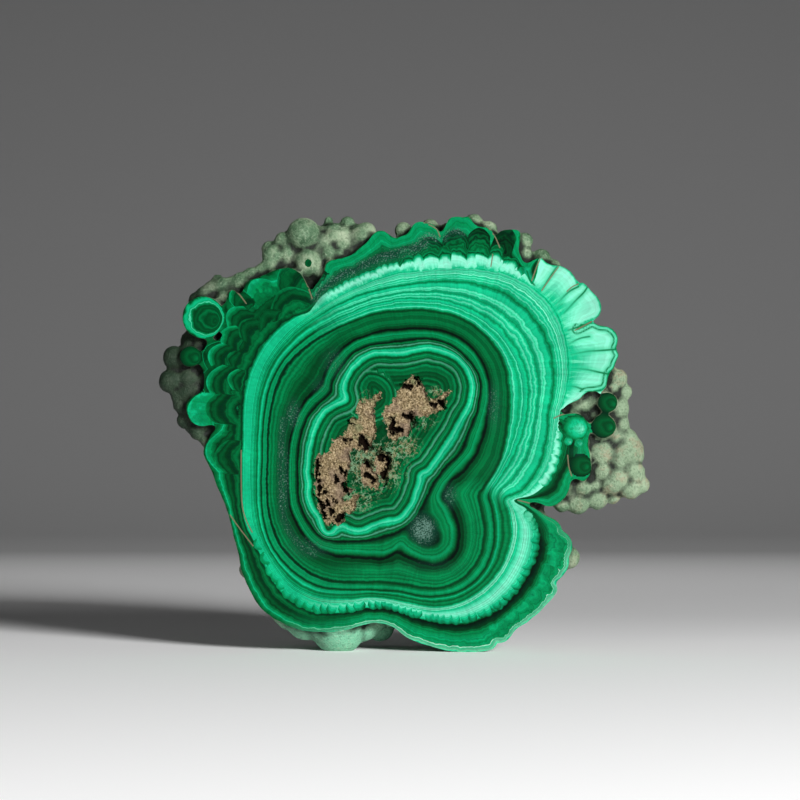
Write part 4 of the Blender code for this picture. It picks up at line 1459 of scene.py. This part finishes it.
def polished_malachite():
    made, tree, shader = new_material("polished_malachite", 0.2, 1.5)
    shader.inputs["Specular IOR Level"].default_value = 0.05
    colour = with_knobs(tree, with_lobe_lines(tree, growth_colour(tree)))
    colour = with_cracks(tree, with_specks(tree, colour))
    crumbs = swung(tree, noise_of(tree, 0.0007, 2.0, 0.8), -1.6, 1.6)
    in_hollow = scaled(tree, maths(tree, "ADD", attribute(tree, "hollow"), crumbs), -0.2, 0.3)
    colour = mixed(tree, in_hollow, colour, earth_colour(tree))
    tree.links.new(colour, shader.inputs["Base Color"])
    tree.links.new(scaled(tree, in_hollow, 0.0, 1.0, 0.22, 0.92), shader.inputs["Roughness"])
    bumpy(tree, shader, noise_of(tree, 0.0005, 3.0, 0.7), times(tree, in_hollow, 0.7), 0.0004)
    return made


def crust():
    """The weathered skin of the lumps: grey-green tops with crevices darkened as painted shade, a
    paler beige at the right that is partly its own colour and partly painted light, darker at the left
    as painted shade.
    """
    made, tree, shader = new_material("crust", 0.6)
    shader.inputs["Specular IOR Level"].default_value = 0.25
    crevice = attribute(tree, "crevice")
    patchy = noise_of(tree, 0.006, 3.0, 0.6)
    tops = colour_ramp(
        tree, patchy,
        [
            (0.3, (62, 98, 66)), (0.45, (100, 134, 100)), (0.55, (132, 158, 124)),
            (0.68, (170, 188, 156)),
        ],
    )
    spot = add_node(tree, "ShaderNodeSeparateXYZ", {"Vector": place_on_object(tree)})
    # Paler beige towards the right: partly the crust's own colour, partly painted light on the side
    # that faces the key light.
    at_right = scaled(tree, spot.outputs["X"], 0.046, 0.060, 0.0, 0.7)
    tops = mixed(tree, at_right, tops, stone(154, 178, 144))
    stains = noise_of(tree, 0.0055, 4.0, 0.7)
    rusty = times(tree, at_right, scaled(tree, stains, 0.50, 0.60, 0.0, 0.9))
    tops = mixed(tree, rusty, tops, stone(166, 152, 124))
    # Painted shade: darker green towards the left, the side that faces away from the key light.
    at_left = scaled(tree, spot.outputs["X"], -0.050, -0.064, 0.0, 0.9)
    tops = mixed(tree, at_left, tops, stone(18, 40, 24))
    under = scaled(tree, spot.outputs["Z"], 0.012, 0.006, 0.0, 0.85)
    tops = mixed(tree, under, tops, stone(134, 214, 174))
    fine = noise_of(tree, 0.0007, 3.0, 0.7)
    pale_specks = scaled(tree, spot.outputs["X"], -0.064, -0.050, 0.15, 1.0)
    pale_specks = times(tree, pale_specks, scaled(tree, fine, 0.52, 0.68, 0.0, 0.5))
    tops = mixed(tree, pale_specks, tops, stone(168, 186, 158))
    tops = mixed(tree, scaled(tree, fine, 0.47, 0.36, 0.0, 0.45), tops, stone(52, 74, 52))
    # Painted shade: the crevices are darkened, down to near-black, by how deep they lie, standing in
    # for the shade that falls in them.
    height = maths(tree, "ADD", crevice, times(tree, patchy, 0.15))
    tops = mixed(tree, scaled(tree, height, 0.16, -0.06, 0.0, 0.62), tops, stone(34, 50, 32))
    low = scaled(tree, height, -0.07, -0.25, 0.0, 0.94)
    colour = mixed(tree, low, tops, stone(10, 18, 10))
    tree.links.new(colour, shader.inputs["Base Color"])
    bumpy(tree, shader, fine, 0.8, 0.0006)
    return made


def sawn_back():
    """The same bands, duller, under the fine arcs that the saw left."""
    made, tree, shader = new_material("sawn_back", 0.5)
    marks = add_node(
        tree, "ShaderNodeTexWave",
        {"Vector": place_on_object(tree), "Scale": 260.0, "Distortion": 0.6, "Detail": 2.0},
        bands_direction="DIAGONAL",
    ).outputs["Fac"]
    dull = add_node(
        tree, "ShaderNodeHueSaturation",
        {"Color": growth_colour(tree), "Saturation": 0.8, "Value": 0.8},
    ).outputs["Color"]
    colour = mixed(tree, scaled(tree, marks, 0.0, 1.0, 0.0, 0.12), dull, stone(150, 190, 165))
    tree.links.new(colour, shader.inputs["Base Color"])
    bumpy(tree, shader, marks, 0.25, 0.0001)
    return made


# The studio, in metres. The camera looks level along +Y.
CAMERA_AWAY = 1.3
CAMERA_HEIGHT = 0.0756
CAMERA_SIDE = -0.0015
CAMERA_CLIP = 0.05
VIEW_WIDTH = 0.240  # what the picture spans at the polished face
FLOOR_FRONT = -2.2
FLOOR_BACK = 1.1
SWEEP_RADIUS = 0.8
WALL_HEIGHT = 2.6
STUDIO_HALF_WIDTH = 3.0
# Painted light: the paper's tone goes from near-white in front to grey along Y and darker still
# upwards, standing in for the falloff of the studio light.
PAPER_NEAR = (251, 251, 251)
PAPER_FAR = (119, 119, 119)
PAPER_TOP = (90, 90, 90)
PAINTED_FALLOFF_ALONG_Y = (0.04, 0.85)  # along Y
PAINTED_FALLOFF_UPWARDS = (0.0, 0.4)  # upwards, from the far tone to the top's
SWEEP_STEP = 6  # degrees
AIR_LIGHT = 0.05  # strength of the white that comes from all sides

# Each light: name, place, target, size and power in watts.
LIGHTS = [
    ("key", (0.97, -1.88, 0.67), (0, 0.1, 0.05), 0.6, 86),
    ("fill", (-0.9, -1.3, 0.7), (0, 0, 0.06), 1.2, 1.2),
    ("wall_light", (0.0, 0.7, 0.75), (0, 1.9, -0.05), 0.8, 4.2),
]


def place_camera():
    data = bpy.data.cameras.new("camera")
    data.lens = data.sensor_width * CAMERA_AWAY / VIEW_WIDTH
    data.clip_start = CAMERA_CLIP
    camera = placed("camera", data)
    camera.location = (CAMERA_SIDE, FRONT - CAMERA_AWAY, CAMERA_HEIGHT)
    camera.rotation_euler = (math.radians(90), 0, 0)
    bpy.context.scene.camera = camera


def soft_light(name, place, target, size, power):
    data = bpy.data.lights.new(name, "AREA")
    data.shape = "DISK"
    data.size = size
    data.energy = power
    lamp = placed(name, data)
    lamp.location = place
    lamp.rotation_euler = (Vector(target) - Vector(place)).to_track_quat("-Z", "Y").to_euler()


def build_studio():
    """A pale floor that sweeps up into a grey wall, with the falloff of light painted into the paper's
    tone.
    """
    turn = [math.radians(angle) for angle in range(0, 91, SWEEP_STEP)]
    profile = [(FLOOR_FRONT, 0.0)]
    profile += [
        (FLOOR_BACK + SWEEP_RADIUS * math.sin(a), SWEEP_RADIUS * (1 - math.cos(a))) for a in turn
    ]
    profile.append((FLOOR_BACK + SWEEP_RADIUS, WALL_HEIGHT))
    bm = bmesh.new()
    left, right = (
        [bm.verts.new((x, y, z)) for y, z in profile]
        for x in (-STUDIO_HALF_WIDTH, STUDIO_HALF_WIDTH)
    )
    for number in range(len(profile) - 1):
        bm.faces.new((left[number], right[number], right[number + 1], left[number + 1]))
    mesh = bpy.data.meshes.new("studio_sweep")
    bm.to_mesh(mesh)
    bm.free()
    mesh.shade_smooth()
    sweep = placed("studio_sweep", mesh)
    made, tree, shader = new_material("studio_paper", 0.8)
    spot = add_node(tree, "ShaderNodeSeparateXYZ", {"Vector": place_on_object(tree)})
    # Painted falloff of light: darker along Y, and darker again upwards.
    dark = scaled(tree, spot.outputs["Y"], *PAINTED_FALLOFF_ALONG_Y)
    tone = mixed(tree, dark, srgb(*PAPER_NEAR), srgb(*PAPER_FAR))
    tone = mixed(tree, scaled(tree, spot.outputs["Z"], *PAINTED_FALLOFF_UPWARDS), tone, srgb(*PAPER_TOP))
    tree.links.new(tone, shader.inputs["Base Color"])
    sweep.data.materials.append(made)


def light_studio():
    for light in LIGHTS:
        soft_light(*light)
    world = bpy.data.worlds.new("studio_air")
    world.use_nodes = True
    air = world.node_tree.nodes["Background"]
    air.inputs["Color"].default_value = (1, 1, 1, 1)
    air.inputs["Strength"].default_value = AIR_LIGHT
    bpy.context.scene.world = world


def main():
    slab = build_slab()
    for material in (crust(), polished_malachite(), sawn_back()):
        slab.data.materials.append(material)
    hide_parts("malachite_slab")
    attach(slab, "root")
    place_camera()
    build_studio()
    light_studio()
    bpy.context.scene.view_settings.view_transform = "Standard"


main()
